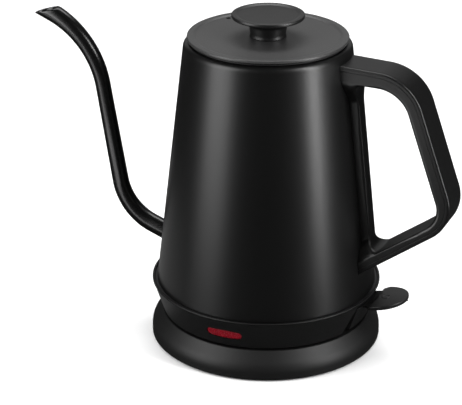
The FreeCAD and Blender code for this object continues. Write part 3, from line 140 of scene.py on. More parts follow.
def cutBy(piece, cutters, sharp=38):
    # Takes the cutters' shapes out of the piece for good, then removes them.
    for cutter in cutters:
        cut = piece.modifiers.new("cut", "BOOLEAN")
        cut.operation = "DIFFERENCE"
        cut.solver = "EXACT"
        cut.object = cutter
    bpy.context.view_layer.update()
    done = bpy.data.meshes.new_from_object(piece.evaluated_get(bpy.context.evaluated_depsgraph_get()))
    piece.modifiers.clear()
    old = piece.data
    piece.data = done
    done.name = piece.name
    bpy.data.meshes.remove(old)
    done.polygons.foreach_set("use_smooth", np.ones(len(done.polygons), bool))
    done.set_sharp_from_angle(angle=math.radians(sharp))
    for cutter in cutters:
        bpy.data.objects.remove(cutter)


def smoothStep(amount):
    amount = np.clip(amount, 0, 1)
    return amount * amount * (3 - 2 * amount)


def settle(piece, body, materials, replaced=()):
    # Rides on its CAD body, stands for CAD nodes, and takes its finishes.
    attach(piece, body)
    if replaced:
        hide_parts(*replaced)
    piece.data.materials.clear()
    for name in materials:
        piece.data.materials.append(finishes[name])


def linear(hexText):
    # sRGB hex to the linear colour that shaders use.
    parts = [int(hexText[i:i + 2], 16) / 255 for i in (1, 3, 5)]
    return [p / 12.92 if p <= 0.04045 else ((p + 0.055) / 1.055) ** 2.4 for p in parts] + [1]


def addNode(tree, kind, inputs=(), **settings):
    # One node with its settings, and its inputs given as numbers, colours or other nodes' sockets.
    made = tree.nodes.new(kind)
    for key, setting in settings.items():
        setattr(made, key, setting)
    for key, source in dict(inputs).items():
        if isinstance(source, bpy.types.NodeSocket):
            tree.links.new(source, made.inputs[key])
        else:
            made.inputs[key].default_value = source
    return made


def finish(name, look):
    # One surface finish from its values: a colour that drifts a little over drift millimetres, roughness
    # that varies between two values, and a bump grain of a real size and depth. Streaks stretch the
    # pattern along one axis, as brushing or turning does.
    made = bpy.data.materials.new(name)
    made.use_nodes = True
    tree = made.node_tree
    tree.nodes.clear()
    place = addNode(tree, "ShaderNodeTexCoord")
    stretch = look.get("stretch", (1, 1, 1))
    spread = addNode(tree, "ShaderNodeMapping", {"Vector": place.outputs["Object"], "Scale": stretch})
    drift = addNode(tree, "ShaderNodeTexNoise", {
        "Vector": place.outputs["Object"], "Scale": 1 / (look.get("drift", 40) * mm), "Detail": 3.0,
    })
    grain = addNode(tree, "ShaderNodeTexNoise", {
        "Vector": spread.outputs["Vector"], "Scale": 1 / (look["grain"] * mm),
        "Detail": 4.0, "Roughness": 0.6,
    })
    fine = addNode(tree, "ShaderNodeTexVoronoi", {
        "Vector": spread.outputs["Vector"], "Scale": 1 / (look["grain"] * 0.6 * mm),
    }, feature="SMOOTH_F1")
    # a colour mix keeps its two colours in sockets 6 and 7 and gives its result in socket 2
    colour = addNode(tree, "ShaderNodeMix", {
        "Factor": drift.outputs["Fac"], 6: linear(look["dark"]), 7: linear(look["light"]),
    }, data_type="RGBA")
    low, high = look["rough"]
    blur = addNode(tree, "ShaderNodeMapRange", {
        "Value": grain.outputs["Fac"], "From Min": 0.3, "From Max": 0.7, "To Min": low, "To Max": high,
    })
    height = addNode(tree, "ShaderNodeMath", {
        0: grain.outputs["Fac"], 1: fine.outputs["Distance"],
    }, operation="ADD")
    bump = addNode(tree, "ShaderNodeBump", {
        "Height": height.outputs["Value"], "Strength": look.get("bump", 0.2), "Distance": look["depth"] * mm,
    })
    shader = addNode(tree, "ShaderNodeBsdfPrincipled", {
        "Base Color": colour.outputs[2], "Roughness": blur.outputs["Result"],
        "Normal": bump.outputs["Normal"],
        "Metallic": look.get("metallic", 0.0), "IOR": look.get("ior", 1.5),
        "Specular IOR Level": look.get("specular", 0.5),
        "Coat Weight": look.get("coat", 0.0), "Coat Roughness": look.get("coatRough", 0.2),
        "Transmission Weight": look.get("clear", 0.0),
        "Anisotropic": look.get("brushed", 0.0),
    })
    # an emission colour is a painted glow: the surface shines with no lamp behind it
    if "glow" in look:
        shader.inputs["Emission Color"].default_value = linear(look["glow"])
        shader.inputs["Emission Strength"].default_value = look["glowStrength"]
    addNode(tree, "ShaderNodeOutputMaterial", {"Surface": shader.outputs["BSDF"]})
    return made


looks = {
    # satin black paint baked on steel: near-black, soft broad highlights, a very fine orange peel
    "paintedSteel": dict(dark="#050505", light="#080808", rough=(0.32, 0.38), grain=1.1, depth=0.02,
                         bump=0.12, ior=1.5, specular=0.5, drift=60),
    # the same satin black paint on the lid, set to a softer grey colour as painted light: the sheen its top
    # catches, lighter than the vessel's same paint
    "lidPaintLitGrey": dict(dark="#2a2a2a", light="#303030", rough=(0.4, 0.46), grain=1.0, depth=0.02,
                       bump=0.12, ior=1.5, specular=0.7, drift=50),
    # paint over the drawn spout tube, glossier where the tube was polished first
    "paintedSpout": dict(dark="#050505", light="#080808", rough=(0.22, 0.28), grain=1.1, depth=0.015,
                         bump=0.1, ior=1.5, specular=0.5, drift=40),
    # brushed 304 stainless inside the vessel: grey, with fine lines round the wall
    "stainlessSteel": dict(dark="#8d8c89", light="#a9a8a4", rough=(0.24, 0.36), grain=1.2, depth=0.02,
                           bump=0.15, metallic=1.0, stretch=(0.12, 0.12, 1.0), brushed=0.4, drift=45),
    # moulded polypropylene with a spark-eroded grain: matte, slightly warm black
    "basePlastic": dict(dark="#090909", light="#0d0d0d", rough=(0.46, 0.56), grain=0.7, depth=0.05,
                        bump=0.25, ior=1.49, specular=0.45, drift=35),
    "skirtPlastic": dict(dark="#0a0a0a", light="#0e0e0e", rough=(0.44, 0.52), grain=0.7, depth=0.04,
                         bump=0.22, ior=1.49, specular=0.45, drift=35),
    # satin ABS of the handle: closer grain and a smoother sheen than the base
    "handlePlastic": dict(dark="#070707", light="#0b0b0b", rough=(0.33, 0.4), grain=0.6, depth=0.02,
                          bump=0.16, ior=1.53, specular=0.5, drift=30),
    "handleCoverPlastic": dict(dark="#070707", light="#0b0b0b", rough=(0.31, 0.38), grain=0.6, depth=0.02,
                               bump=0.16, ior=1.53, specular=0.5, drift=30),
    # phenolic knob, polished at its rim by fingers
    "knobPlastic": dict(dark="#0a0a0a", light="#0e0e0e", rough=(0.36, 0.44), grain=0.6, depth=0.02,
                        bump=0.15, ior=1.58, specular=0.5, drift=20),
    "leverPlastic": dict(dark="#0e0e0e", light="#131313", rough=(0.4, 0.48), grain=0.6, depth=0.03,
                         bump=0.2, ior=1.5, specular=0.55, drift=20),
    # dark glass-filled nylon of the connector and the controls inside
    "connectorPlastic": dict(dark="#1d1d1e", light="#262627", rough=(0.5, 0.6), grain=0.8, depth=0.04,
                             bump=0.2, ior=1.53, drift=20),
    "controlPlastic": dict(dark="#cfcabd", light="#ddd9cf", rough=(0.45, 0.55), grain=0.8, depth=0.03,
                           bump=0.2, ior=1.53, drift=20),
    # EPDM foot: deep matte black with a dusty tooth
    "footRubber": dict(dark="#0d0d0d", light="#151515", rough=(0.72, 0.85), grain=0.8, depth=0.06,
                       bump=0.3, ior=1.52, drift=20),
    # cured silicone: matte, slightly translucent-looking dark grey
    "sealSilicone": dict(dark="#1a1a1b", light="#232324", rough=(0.5, 0.6), grain=1.0, depth=0.03,
                         bump=0.15, ior=1.41, drift=20),
    # clear red polycarbonate lens with its lamp off, given a faint painted glow: an emission that stands in
    # for the light the lens catches
    "lensRed": dict(dark="#4a0008", light="#7a0014", rough=(0.22, 0.3), grain=0.9, depth=0.05, bump=0.2,
                    ior=1.58, drift=3, glow="#6a0010", glowStrength=0.12),
    "lampGlass": dict(dark="#8c2a20", light="#b8402f", rough=(0.08, 0.14), grain=1.5, depth=0.02,
                      bump=0.1, ior=1.52, drift=4),
    # tinned brass contacts, turned: warm metal with fine rings
    "contactBrass": dict(dark="#b58f4a", light="#cfae6a", rough=(0.2, 0.3), grain=0.8, depth=0.01,
                         bump=0.1, metallic=1.0, stretch=(1, 1, 6), drift=6),
    # zinc-plated screws: cool bright grey, slightly mottled
    "screwSteel": dict(dark="#8e9092", light="#aeb0b2", rough=(0.28, 0.38), grain=0.6, depth=0.02,
                       bump=0.15, metallic=1.0, drift=3),
    # die-cast aluminium plate and the element's oxidised sheath
    "aluminiumPlate": dict(dark="#9b9c9d", light="#b6b7b8", rough=(0.36, 0.46), grain=0.9, depth=0.03,
                           bump=0.2, metallic=1.0, drift=12),
    "elementSheath": dict(dark="#6d6a66", light="#858079", rough=(0.4, 0.5), grain=0.9, depth=0.03,
                          bump=0.2, metallic=1.0, drift=8),
    # bimetal: rolled nickel and brass strip
    "bimetal": dict(dark="#9a8f78", light="#b5aa90", rough=(0.26, 0.36), grain=0.8, depth=0.02,
                    bump=0.12, metallic=1.0, drift=6),
}
finishes = {name: finish(name, look) for name, look in looks.items()}
slotFinish = {
    "painted_steel": "paintedSteel", "painted_spout": "paintedSpout", "painted_lid": "lidPaintLitGrey",
    "stainless_steel": "stainlessSteel", "element_sheath": "elementSheath",
    "aluminium_plate": "aluminiumPlate", "bimetal": "bimetal", "base_plastic": "basePlastic",
    "skirt_plastic": "skirtPlastic", "handle_plastic": "handlePlastic",
    "handle_cover_plastic": "handleCoverPlastic", "knob_plastic": "knobPlastic",
    "lever_plastic": "leverPlastic", "connector_plastic": "connectorPlastic",
    "control_plastic": "controlPlastic", "foot_rubber": "footRubber", "seal_silicone": "sealSilicone",
    "lens_red": "lensRed", "lamp_glass": "lampGlass", "contact_brass": "contactBrass",
    "screw_steel": "screwSteel",
}
print("finishes made:", len(finishes))

# every CAD node takes the finish of its slot in the record
for entry in frame["record"]["subparts"]:
    node = frame["nodes"][entry["node"]]
    if not node.data.materials:
        node.data.materials.append(None)
    for i in range(len(node.material_slots)):
        node.material_slots[i].material = finishes[slotFinish[entry["material_slot"]]]

vessel = {
    "bottom": 36.6, "radius": 66.45, "taper": 0.1141, "wall": 0.9,
    "crest": 187.5, "shoulder": 3.8, "neckRound": 1.9, "neckLength": 8.0,
    "middle": 120, "spoutHole": 1.16, "holeSpread": 2.45, "holesHeight": 53.6,
}


def vesselRadius(height):
    # Outer radius of the straight taper at a height.
    return vessel["radius"] - vessel["taper"] * (height - vessel["bottom"])


def makeVessel():
    v = vessel
    slant = math.sqrt(1 + v["taper"] ** 2)
    wall = v["wall"] * slant
    top = v["crest"]
    edge = vesselRadius(top)
    neck = vesselRadius(top - v["shoulder"]) - v["shoulder"] / slant - v["neckRound"]
    low = top - v["neckRound"] - v["neckLength"]
    corners = [
        (v["radius"], v["bottom"]),
        (vesselRadius(v["middle"]), v["middle"]),
        (edge, top, v["shoulder"]),
        (neck, top, v["neckRound"]),
        (neck, low),
        (neck + v["wall"], low),
        (neck + v["wall"], top - v["wall"], v["neckRound"] - v["wall"]),
        (edge - wall, top - v["wall"], v["shoulder"] - v["wall"]),
        (vesselRadius(v["middle"]) - wall, v["middle"]),
        (v["radius"] - wall, v["bottom"]),
    ]
    piece = turned("vessel_body", corners, steps=320, perArc=12)
    at = -vesselRadius(v["holesHeight"])
    spots = [(0.0, v["holesHeight"])]
    for i in range(6):
        spots.append((v["holeSpread"] * math.cos(i * fullTurn / 6),
                      v["holesHeight"] + v["holeSpread"] * math.sin(i * fullTurn / 6)))
    cutBy(piece, [rod("holeCutter", (at - 4, a, b), (at + 4, a, b), v["spoutHole"], 20) for a, b in spots])
    settle(piece, "kettle", ["paintedSteel", "stainlessSteel"], ["vessel"])
    # faces that look at the axis from the neck downwards are bare steel
    mesh = piece.data
    count = len(mesh.polygons)
    centre = np.zeros(count * 3)
    normal = np.zeros(count * 3)
    mesh.polygons.foreach_get("center", centre)
    mesh.polygons.foreach_get("normal", normal)
    centre = centre.reshape(-1, 3) / mm
    normal = normal.reshape(-1, 3)
    inward = (centre[:, :2] * normal[:, :2]).sum(1) < 0
    bare = inward & (centre[:, 2] < top - v["neckRound"] * 0.6)
    mesh.polygons.foreach_set("material_index", bare.astype(np.int32))


lid = {
    "radius": 47.3, "top": 190.8, "sheet": 0.9, "sink": 0.7, "bead": 3.6, "edge": 0.72,
    "vent": 1.5, "ventCircle": 40.0, "ventAngle": 148, "knob": 21.4, "knobTop": 203.6, "stem": 10.5,
}


def makeLid():
    v = lid
    field = v["top"] - v["sink"]
    under = field - v["sheet"]
    bead = v["radius"] - v["bead"]
    corners = [
        (0, under),
        (bead - 0.4, under),
        (bead + 0.5, v["top"] - v["sheet"]),
        (v["radius"] - v["sheet"], v["top"] - v["sheet"]),
        (v["radius"] - v["sheet"], v["top"] - 1.7 * v["sheet"]),
        (v["radius"], v["top"] - 1.7 * v["sheet"]),
        (v["radius"], v["top"], v["edge"]),
        (bead, v["top"], 1.6),
        (bead - 1.6, field, 2.4),
        (0, field),
    ]
    piece = turned("lid_top", corners, steps=256, perArc=9, closed=False)
    angle = math.radians(v["ventAngle"])
    x = v["ventCircle"] * math.cos(angle)
    y = v["ventCircle"] * math.sin(angle)
    cutBy(piece, [rod("ventCutter", (x, y, under - 3), (x, y, field + 3), v["vent"], 32)])
    # the lid's paint is coloured grey, a painted sheen over the same black paint as the vessel
    settle(piece, "lid", ["lidPaintLitGrey"], ["lid_cover"])
    foot = field + 0.05
    top = v["knobTop"]
    knobCorners = [
        (0, foot),
        (v["stem"] + 0.3, foot, 0.3),
        (v["stem"], foot + 2.0, 4.0),
        (v["stem"] + 0.9, top - 5.4, 3.4),
        (v["knob"] - 3.2, top - 3.3, 6.0),
        (v["knob"], top - 2.0, 0.9),
        (v["knob"], top, 0.8),
        (v["knob"] - 2.2, top - 0.05, 0.7),
        (v["knob"] - 4.0, top - 0.7, 2.4),
        (0, top - 1.0),
    ]
    knob = turned("lid_grip", knobCorners, steps=192, perArc=8, closed=False)
    settle(knob, "lid", ["knobPlastic"], ["lid_knob"])


skirt = {
    "bottom": 18.4, "low": 63.1, "top": 37.5, "high": 69.5, "wall": 2.0, "lip": 1.6, "shelf": 35.0,
    "shelfSheet": 1.4, "shelfIn": 44.0, "bridge": 35.9, "notchTop": 18.9, "notchLow": 23.5,
}
lens = {"height": 26.8, "reach": 8.0, "radius": 2.88, "sink": 0.25, "thick": 3.0}


def skirtRadius(height):
    # Outer radius of the skirt's cone at a height.
    v = skirt
    return v["low"] + (v["high"] - v["low"]) * (height - v["bottom"]) / (v["top"] - v["bottom"])


def makeSkirt():
    v = skirt
    # the lip runs all the way round and bridges the lever's notch
    lip = [
        (v["high"] - 0.28 * v["lip"], v["bridge"]),
        (v["high"] - 0.04, v["top"] - 0.7, 0.3),
        (v["high"] - 0.1, v["top"], 0.55),
        (v["high"] - v["lip"], v["top"], 0.5),
        (v["high"] - v["lip"], v["shelf"]),
        (v["shelfIn"], v["shelf"]),
        (v["shelfIn"], v["shelf"] - v["shelfSheet"]),
        (v["high"] - 3.2, v["shelf"] - v["shelfSheet"]),
        (v["high"] - 3.2, v["bridge"]),
    ]
    rim = turned("skirt_lip", lip, steps=288, perArc=6)
    settle(rim, "kettle", ["skirtPlastic"], ["skirt"])
    # the wall goes round from one slanting side of the notch to the other
    profile = rounded([
        (v["low"], v["bottom"], 0.5),
        (skirtRadius(v["bridge"]), v["bridge"]),
        (skirtRadius(v["bridge"]) - v["wall"], v["bridge"]),
        (v["low"] - v["wall"], v["bottom"]),
    ], 5)
    rise = (profile[:, 1] - v["bottom"]) / (v["bridge"] - v["bottom"])
    half = v["notchLow"] + (v["notchTop"] - v["notchLow"]) * smoothStep(rise)
    start = np.arcsin(half / profile[:, 0])[:, None]
    along = np.linspace(0, 1, 260)
    angle = start + (fullTurn - 2 * start) * along
    points = np.stack([
        profile[:, :1] * np.cos(angle),
        profile[:, :1] * np.sin(angle),
        np.repeat(profile[:, 1:], len(along), axis=1),
    ], axis=-1)
    wall = gridPiece("skirt_wall", points, closeRows=True, closeColumns=False, capEnds=True)
    cutBy(wall, [lensSlab("lensCutter", 0.16, 8.0, -6.0)])
    settle(wall, "kettle", ["skirtPlastic"])


def lensSlab(name, grown, thick, sink):
    # Pill outline in XZ set on the skirt's cone on the -Y side: rings step in from the outline to the
    # pill's middle line, on the cone at the front and thick millimetres deeper at the back.
    v = lens
    steps = 96
    turn = np.arange(steps) / steps * fullTurn
    radius = v["radius"] + grown
    middle = np.clip(np.cos(turn) * (v["reach"] + radius) * 1.2, -v["reach"], v["reach"])
    middle = np.stack([middle, np.zeros(steps)], axis=-1)
    circle = np.stack([np.cos(turn), np.sin(turn)], axis=-1) * radius
    rings = []
    for share, depth in ((0, 0), (0.5, 0), (0.86, 0.02), (0.96, 0.14), (1, 0.4), (1, thick - 0.1),
                         (0.96, thick), (0, thick)):
        flat = middle + circle * share
        x = flat[:, 0]
        z = flat[:, 1] + v["height"]
        cone = skirtRadius(z) - sink - depth
        y = -np.sqrt(cone ** 2 - x ** 2)
        rings.append(np.stack([x, y, z], axis=-1))
    return gridPiece(name, np.array(rings), capEnds=True)


def makeLens():
    piece = lensSlab("lamp_window", 0.0, lens["thick"], lens["sink"])
    settle(piece, "kettle", ["lensRed"], ["lamp_lens"])


base = {
    "radius": 70, "lift": 0.8, "side": 8.6, "height": 17.2, "topRadius": 63.6, "seat": 11, "well": 12.0,
    "edge": 12.0, "wall": 2.2, "tower": 16.5, "outlet": 3.7, "outletHeight": 7.4,
}


def makeBase():
    v = base
    inner = v["topRadius"] - v["seat"]
    corners = [
        (v["radius"], v["lift"], 0.7),
        (v["radius"], v["side"], v["edge"]),
        (v["topRadius"], v["height"], 0.75),
        (inner, v["height"], 0.5),
        (inner, v["well"], 0.5),
        (v["tower"], v["well"]),
        (v["tower"], v["well"] - v["wall"]),
        (inner + v["wall"], v["well"] - v["wall"]),
        (inner + v["wall"], v["height"] - v["wall"]),
        (v["topRadius"] - 1.1, v["height"] - v["wall"]),
        (v["radius"] - v["wall"], v["side"] - 1.1),
        (v["radius"] - v["wall"], v["lift"]),
    ]
    piece = turned("base_housing", corners, steps=288, perArc=8)
    cutBy(piece, [rod("outletCutter", (0, v["radius"] - 6, v["outletHeight"]),
                      (0, v["radius"] + 3, v["outletHeight"]), v["outlet"], 40)])
    settle(piece, "power_base", ["basePlastic"], ["base_shell"])


spout = {
    "route": [(-62.0, 52.4), (-94.65, 64.4, 33.5), (-113.35, 174.2, 56.0), (-158.0, 193.8)],
    "radii": [5.75, 5.75, 5.05, 4.65, 5.5, 5.9], "wall": 0.8,
    "lip": (-152.9, 185.5), "back": (-135.0, 190.9),
}


def makeSpout():
    v = spout
    perArc = 60
    line = rounded(v["route"], perArc, closed=False, guard=0.01)
    step = np.concatenate([[0], np.cumsum(np.linalg.norm(np.diff(line, axis=0), axis=1))])
    # the radii belong to the route's ends and to both ends of each bend
    bends = [1 + i * (perArc + 2) for i in range(len(v["route"]) - 2)]
    marks = [0] + [bend + end for bend in bends for end in (1, perArc)] + [len(line) - 1]
    far = np.linspace(0, step[-1], 700)
    lineX = np.interp(far, step, line[:, 0])
    lineZ = np.interp(far, step, line[:, 1])
    width = np.interp(far, step[marks], v["radii"])
    window = 61
    width = np.convolve(np.pad(width, window // 2, mode="edge"), np.ones(window) / window, mode="valid")
    turn = np.arange(72) / 72 * fullTurn

    def tubeAt(along, inset):
        # Points of the tube at distances along its line: across is Y, up is the line's own normal.
        x = np.interp(along, far, lineX)
        z = np.interp(along, far, lineZ)
        dx = np.interp(along, far, np.gradient(lineX, far))
        dz = np.interp(along, far, np.gradient(lineZ, far))
        length = np.hypot(dx, dz)
        radius = np.interp(along, far, width) - inset
        side = radius * np.cos(turn)
        lift = radius * np.sin(turn)
        return np.stack([x - lift * dz / length, side, z + lift * dx / length], axis=-1)

    rims = []
    for inset in (0.0, v["wall"]):
        dense = tubeAt(np.repeat(far[:, None], len(turn), axis=1), inset)
        outside = np.hypot(dense[..., 0], dense[..., 1]) - vesselRadius(dense[..., 2]) - 0.05
        start = far[np.argmax(outside > 0, axis=0)]
        lip = np.array(v["lip"])
        cut = np.array(v["back"]) - lip
        below = (dense[..., 0] - lip[0]) * cut[1] - (dense[..., 2] - lip[1]) * cut[0]
        kept = below > 0
        last = len(far) - 1 - np.argmax(kept[::-1], axis=0)
        nextOne = np.minimum(last + 1, len(far) - 1)
        column = np.arange(len(turn))
        here = below[last, column]
        there = below[nextOne, column]
        share = np.where(there < 0, here / (here - there + 1e-12), 0)
        rims.append((start, far[last] + share * (far[nextOne] - far[last])))
    wallRows = 190
    share = np.linspace(0, 1, wallRows)[:, None]
    outerWall = tubeAt(rims[0][0] + (rims[0][1] - rims[0][0]) * share, 0.0)
    innerWall = tubeAt(rims[1][0] + (rims[1][1] - rims[1][0]) * share, v["wall"])
    # a soft rolled edge between the two walls at the mouth
    ease = 0.25
    outerWall[-1] = outerWall[-1] * (1 - ease) + innerWall[-1] * ease
    innerWall[-1] = innerWall[-1] * (1 - ease) + outerWall[-1] * ease
    points = np.concatenate([outerWall, innerWall[::-1]])
    piece = gridPiece("spout_neck", points, closeRows=True, sharp=60)
    settle(piece, "kettle", ["paintedSpout", "stainlessSteel"],
           ["spout_tube"])
    # the paint wraps over the rim, and the bore behind it is bare steel
    steel = np.zeros((len(points), len(turn)), np.int32)
    steel[wallRows + 3:-1] = 1
    piece.data.polygons.foreach_set("material_index", steel.reshape(-1))


handle = {
    "halfWidth": 11.8, "strapHalf": 5.0, "strapDepth": 6.0, "coverThick": 2.6,
    "armTop": 181.5, "armSlope": 0.044, "gripReach": 115.6, "gripHeight": 112.2, "gripSlope": 0.353,
    "lowHeight": 85.1, "lowReach": 107.9, "lowSlope": 0.725, "arm": 9.8, "grip": 9.2, "low": 6.6,
    "topBend": 29.44, "lowBend": 23.46, "strapRound": 5.0, "blendTop": 15.0, "blendLow": 13.0,
    "innerEdge": 2.4, "strapEdge": 2.0, "outerEdge": 1.1, "armRoot": 50.27,
}


def topLine(x, inside):
    v = handle
    return v["armTop"] - v["armSlope"] * (x - v["armRoot"]) - inside * math.hypot(1, v["armSlope"])


def lowLine(x, inside):
    v = handle
    return v["lowHeight"] + v["lowSlope"] * (x - v["lowReach"]) + inside * math.hypot(1, v["lowSlope"])


def gripCorner(line, slope, lineInside, gripInside):
    # Where an arm's line, moved in, meets the grip's outer line, moved in.
    v = handle
    level = line(0, lineInside)
    shift = v["gripReach"] + v["gripSlope"] * v["gripHeight"] - gripInside * math.hypot(1, v["gripSlope"])
    x = (shift - v["gripSlope"] * level) / (1 + v["gripSlope"] * slope)
    return x, line(x, lineInside)


def sideOutline(armInside, gripInside, lowInside, topRound, lowRound, inReach):
    # Loop in the XZ plane: low end, high end, upper bend, lower bend. inReach gives the two ends.
    v = handle
    top = gripCorner(topLine, -v["armSlope"], armInside, gripInside)
    low = gripCorner(lowLine, v["lowSlope"], lowInside, gripInside)
    return [inReach[0], inReach[1], (*top, topRound), (*low, lowRound)]


def evenLoop(corners, perArc, perLine, closed=True):
    # Rounded outline with the same count of points on every arc and every straight, so that two
    # outlines with matching corners pair up point by point.
    spots = rounded(corners, perArc, closed, guard=0.01)
    runs = []
    group = perArc + 2
    for i in range(len(corners)):
        arc = spots[i * group + 1:i * group + 1 + perArc]
        following = spots[((i + 1) % len(corners)) * group + 1]
        runs.append(arc)
        share = np.linspace(0, 1, perLine + 2)[1:-1, None]
        runs.append(arc[-1] * (1 - share) + following * share)
    return np.concatenate(runs)


def sectionRing(thick, halfWidth, roundIn, roundOut, flat=5, bend=6):
    # Rounded rectangle as (depth, across) for arrays of sizes: depth goes from the inner face to the
    # outer one, across from -halfWidth to +halfWidth.
    def arc(first, last):
        return np.linspace(first, last, bend) * math.pi / 2

    one = np.ones_like(thick)[:, None]
    thick, halfWidth, roundIn, roundOut = (a[:, None] for a in (thick, halfWidth, roundIn, roundOut))
    share = np.linspace(0, 1, flat + 2)[None, 1:-1]
    a = arc(0, 1)[None, :]
    parts = [
        (0 * share * one, (halfWidth - roundIn) * (2 * share - 1)),
        (roundIn * (1 - np.cos(a)), halfWidth - roundIn + roundIn * np.sin(a)),
        (roundIn + (thick - roundIn - roundOut) * share, halfWidth + 0 * share),
        (thick - roundOut + roundOut * np.sin(a), halfWidth - roundOut + roundOut * np.cos(a)),
        (thick + 0 * share, (halfWidth - roundOut) * (1 - 2 * share)),
        (thick - roundOut + roundOut * np.cos(a), -halfWidth + roundOut - roundOut * np.sin(a)),
        (thick - roundOut - (thick - roundIn - roundOut) * share, -halfWidth + 0 * share),
        (roundIn - roundIn * np.sin(a), -halfWidth + roundIn - roundIn * np.cos(a)),
    ]
    depth = np.concatenate([np.broadcast_to(p[0], (len(one), p[0].shape[1])) for p in parts], axis=1)
    across = np.concatenate([np.broadcast_to(p[1], (len(one), p[1].shape[1])) for p in parts], axis=1)
    return depth, across


def shareOutside(start, end, across, share, gap=0.06):
    # How far each point may go from start to end (both XZ) before it meets the vessel's taper: the
    # taper's radius there, squared, equals x squared plus across squared, a quadratic in the share.
    step = end - start
    clear = vesselRadius(start[..., 1]) + gap
    fall = vessel["taper"] * step[..., 1]
    a = step[..., 0] ** 2 - fall ** 2
    b = 2 * (start[..., 0] * step[..., 0] + clear * fall)
    c = start[..., 0] ** 2 + across ** 2 - clear ** 2
    inner = np.sqrt(np.maximum(b * b - 4 * a * c, 0))
    meets = (-b - inner) / (2 * np.where(np.abs(a) < 1e-9, 1e-9, a))
    hit = (b * b - 4 * a * c > 0) & (meets > 0) & (meets < 1) & (step[..., 0] < 0)
    return np.where(hit, np.minimum(share, meets), share)


def ontoVessel(points, gap=0.06):
    # Points that lie inside the vessel's taper move out along X until they rest on it.
    x, y, z = points[..., 0], points[..., 1], points[..., 2]
    rest = np.sqrt(np.maximum((vesselRadius(z) + gap) ** 2 - y ** 2, 1))
    return np.stack([np.maximum(x, rest), y, z], axis=-1)


def makeGrip():
    v = handle
    strapTop = vesselRadius(topLine(50, v["arm"])) + v["strapDepth"]
    strapLow = vesselRadius(66.0) + v["strapDepth"]
    hole = sideOutline(v["arm"], v["grip"], v["low"], v["topBend"] - v["grip"], v["lowBend"] - v["grip"], [
        (strapLow, lowLine(strapLow, v["low"]), v["strapRound"]),
        (strapTop, topLine(strapTop, v["arm"]), v["strapRound"]),
    ])
    cover = v["coverThick"]
    inset = 3.5
    lowZ = lowLine(vesselRadius(54), cover)
    highZ = topLine(50, cover)
    rim = sideOutline(cover, cover, cover, v["topBend"] - cover, v["lowBend"] - cover, [
        (vesselRadius(lowZ) - inset, lowLine(vesselRadius(lowZ) - inset, cover), 0.4),
        (vesselRadius(highZ) - inset, topLine(vesselRadius(highZ) - inset, cover), 0.4),
    ])
    holeLoop = evenLoop(hole, 28, 70)
    rimLoop = evenLoop(rim, 28, 70)
    thick = np.linalg.norm(rimLoop - holeLoop, axis=1)
    # the section is drawn at full width first, then narrowed to its true half width in place
    full = v["halfWidth"]

    def halfWidthAt(x, z):
        below = topLine(x, v["arm"]) - z
        above = z - lowLine(x, v["low"])
        free = np.minimum(smoothStep((below + 1) / v["blendTop"]), smoothStep((above + 1) / v["blendLow"]))
        nearVessel = smoothStep((vesselRadius(z) + v["strapDepth"] + 9 - x) / 6)
        return full + (v["strapHalf"] - full) * free * nearVessel

    middle = (holeLoop + rimLoop) / 2
    wide = halfWidthAt(middle[:, 0], middle[:, 1])
    narrowed = (full - wide) / (full - v["strapHalf"])
    edgeIn = np.minimum(v["innerEdge"] + (v["strapEdge"] - v["innerEdge"]) * narrowed, thick * 0.45)
    depth, across = sectionRing(thick, np.full(len(thick), full), edgeIn, np.full(len(thick), 0.25),
                                flat=14, bend=7)
    share = depth / thick[:, None]
    for attempt in range(3):
        flat = holeLoop[:, None] * (1 - share[..., None]) + rimLoop[:, None] * share[..., None]
        y = across * halfWidthAt(flat[..., 0], flat[..., 1]) / full
        share = shareOutside(holeLoop[:, None], rimLoop[:, None], y, share)
    flat = holeLoop[:, None] * (1 - share[..., None]) + rimLoop[:, None] * share[..., None]
    points = ontoVessel(np.stack([flat[..., 0], y, flat[..., 1]], axis=-1))
    piece = gridPiece("handle_inner_shell", points, closeRows=True, sharp=45)
    settle(piece, "kettle", ["handlePlastic"], ["handle_grip"])


def makeHandleCover():
    v = handle
    startX = vesselRadius(topLine(50, 0)) - 4
    endX = vesselRadius(54) - 4
    perArc = 40
    perLine = 40

    def path(inside):
        # The cover's side line, moved in: straight, bend, straight, bend, straight.
        top = gripCorner(topLine, -v["armSlope"], inside, inside)
        low = gripCorner(lowLine, v["lowSlope"], inside, inside)
        line = rounded([
            (startX, topLine(startX, inside)),
            (*top, v["topBend"] - inside),
            (*low, v["lowBend"] - inside),
            (endX, lowLine(endX, inside)),
        ], perArc, closed=False, guard=0.01)
        share = np.linspace(0, 1, perLine)[:, None]
        straights = [line[first] * (1 - share) + line[last] * share
                     for first, last in ((0, 2), (perArc + 1, perArc + 4), (2 * perArc + 3, -1))]
        bends = [line[2:perArc + 2], line[perArc + 4:2 * perArc + 4]]
        runs = [straights[0], bends[0], straights[1], bends[1]]
        return np.concatenate([run[:-1] for run in runs] + [straights[2]])

    outer = path(0.0)
    inner = path(v["coverThick"] - 0.05)
    thick = np.linalg.norm(outer - inner, axis=1)
    size = len(thick)
    depth, across = sectionRing(thick, np.full(size, v["halfWidth"]), np.full(size, 0.12),
                                np.full(size, v["outerEdge"]), flat=8, bend=7)
    share = (depth / thick[:, None])[..., None]
    flat = inner[:, None] * (1 - share) + outer[:, None] * share
    points = ontoVessel(np.stack([flat[..., 0], across, flat[..., 1]], axis=-1))
    piece = gridPiece("handle_outer_shell", points, capEnds=True, sharp=45)
    settle(piece, "kettle", ["handleCoverPlastic"], ["handle_cover"])


lever = {
    "halfWidth": 15.0, "middle": 76.0, "slope": 0.178, "height": 34.8, "from": 69.5, "thick": 2.6,
    "root": 62.0, "neckEnd": 72.4, "neckDrop": 1.3, "neckHalf": 11.5, "edge": 0.55,
    "apronHalf": 17.7, "apronLow": 18.8, "apronTop": 33.4, "apronWall": 2.0,
    "hinge": (56, 27), "hubHalf": 7, "hub": 3.4, "hubBore": 1.56,
    "markAt": 77.5, "markRadius": 2.3, "markLine": 0.42,
}


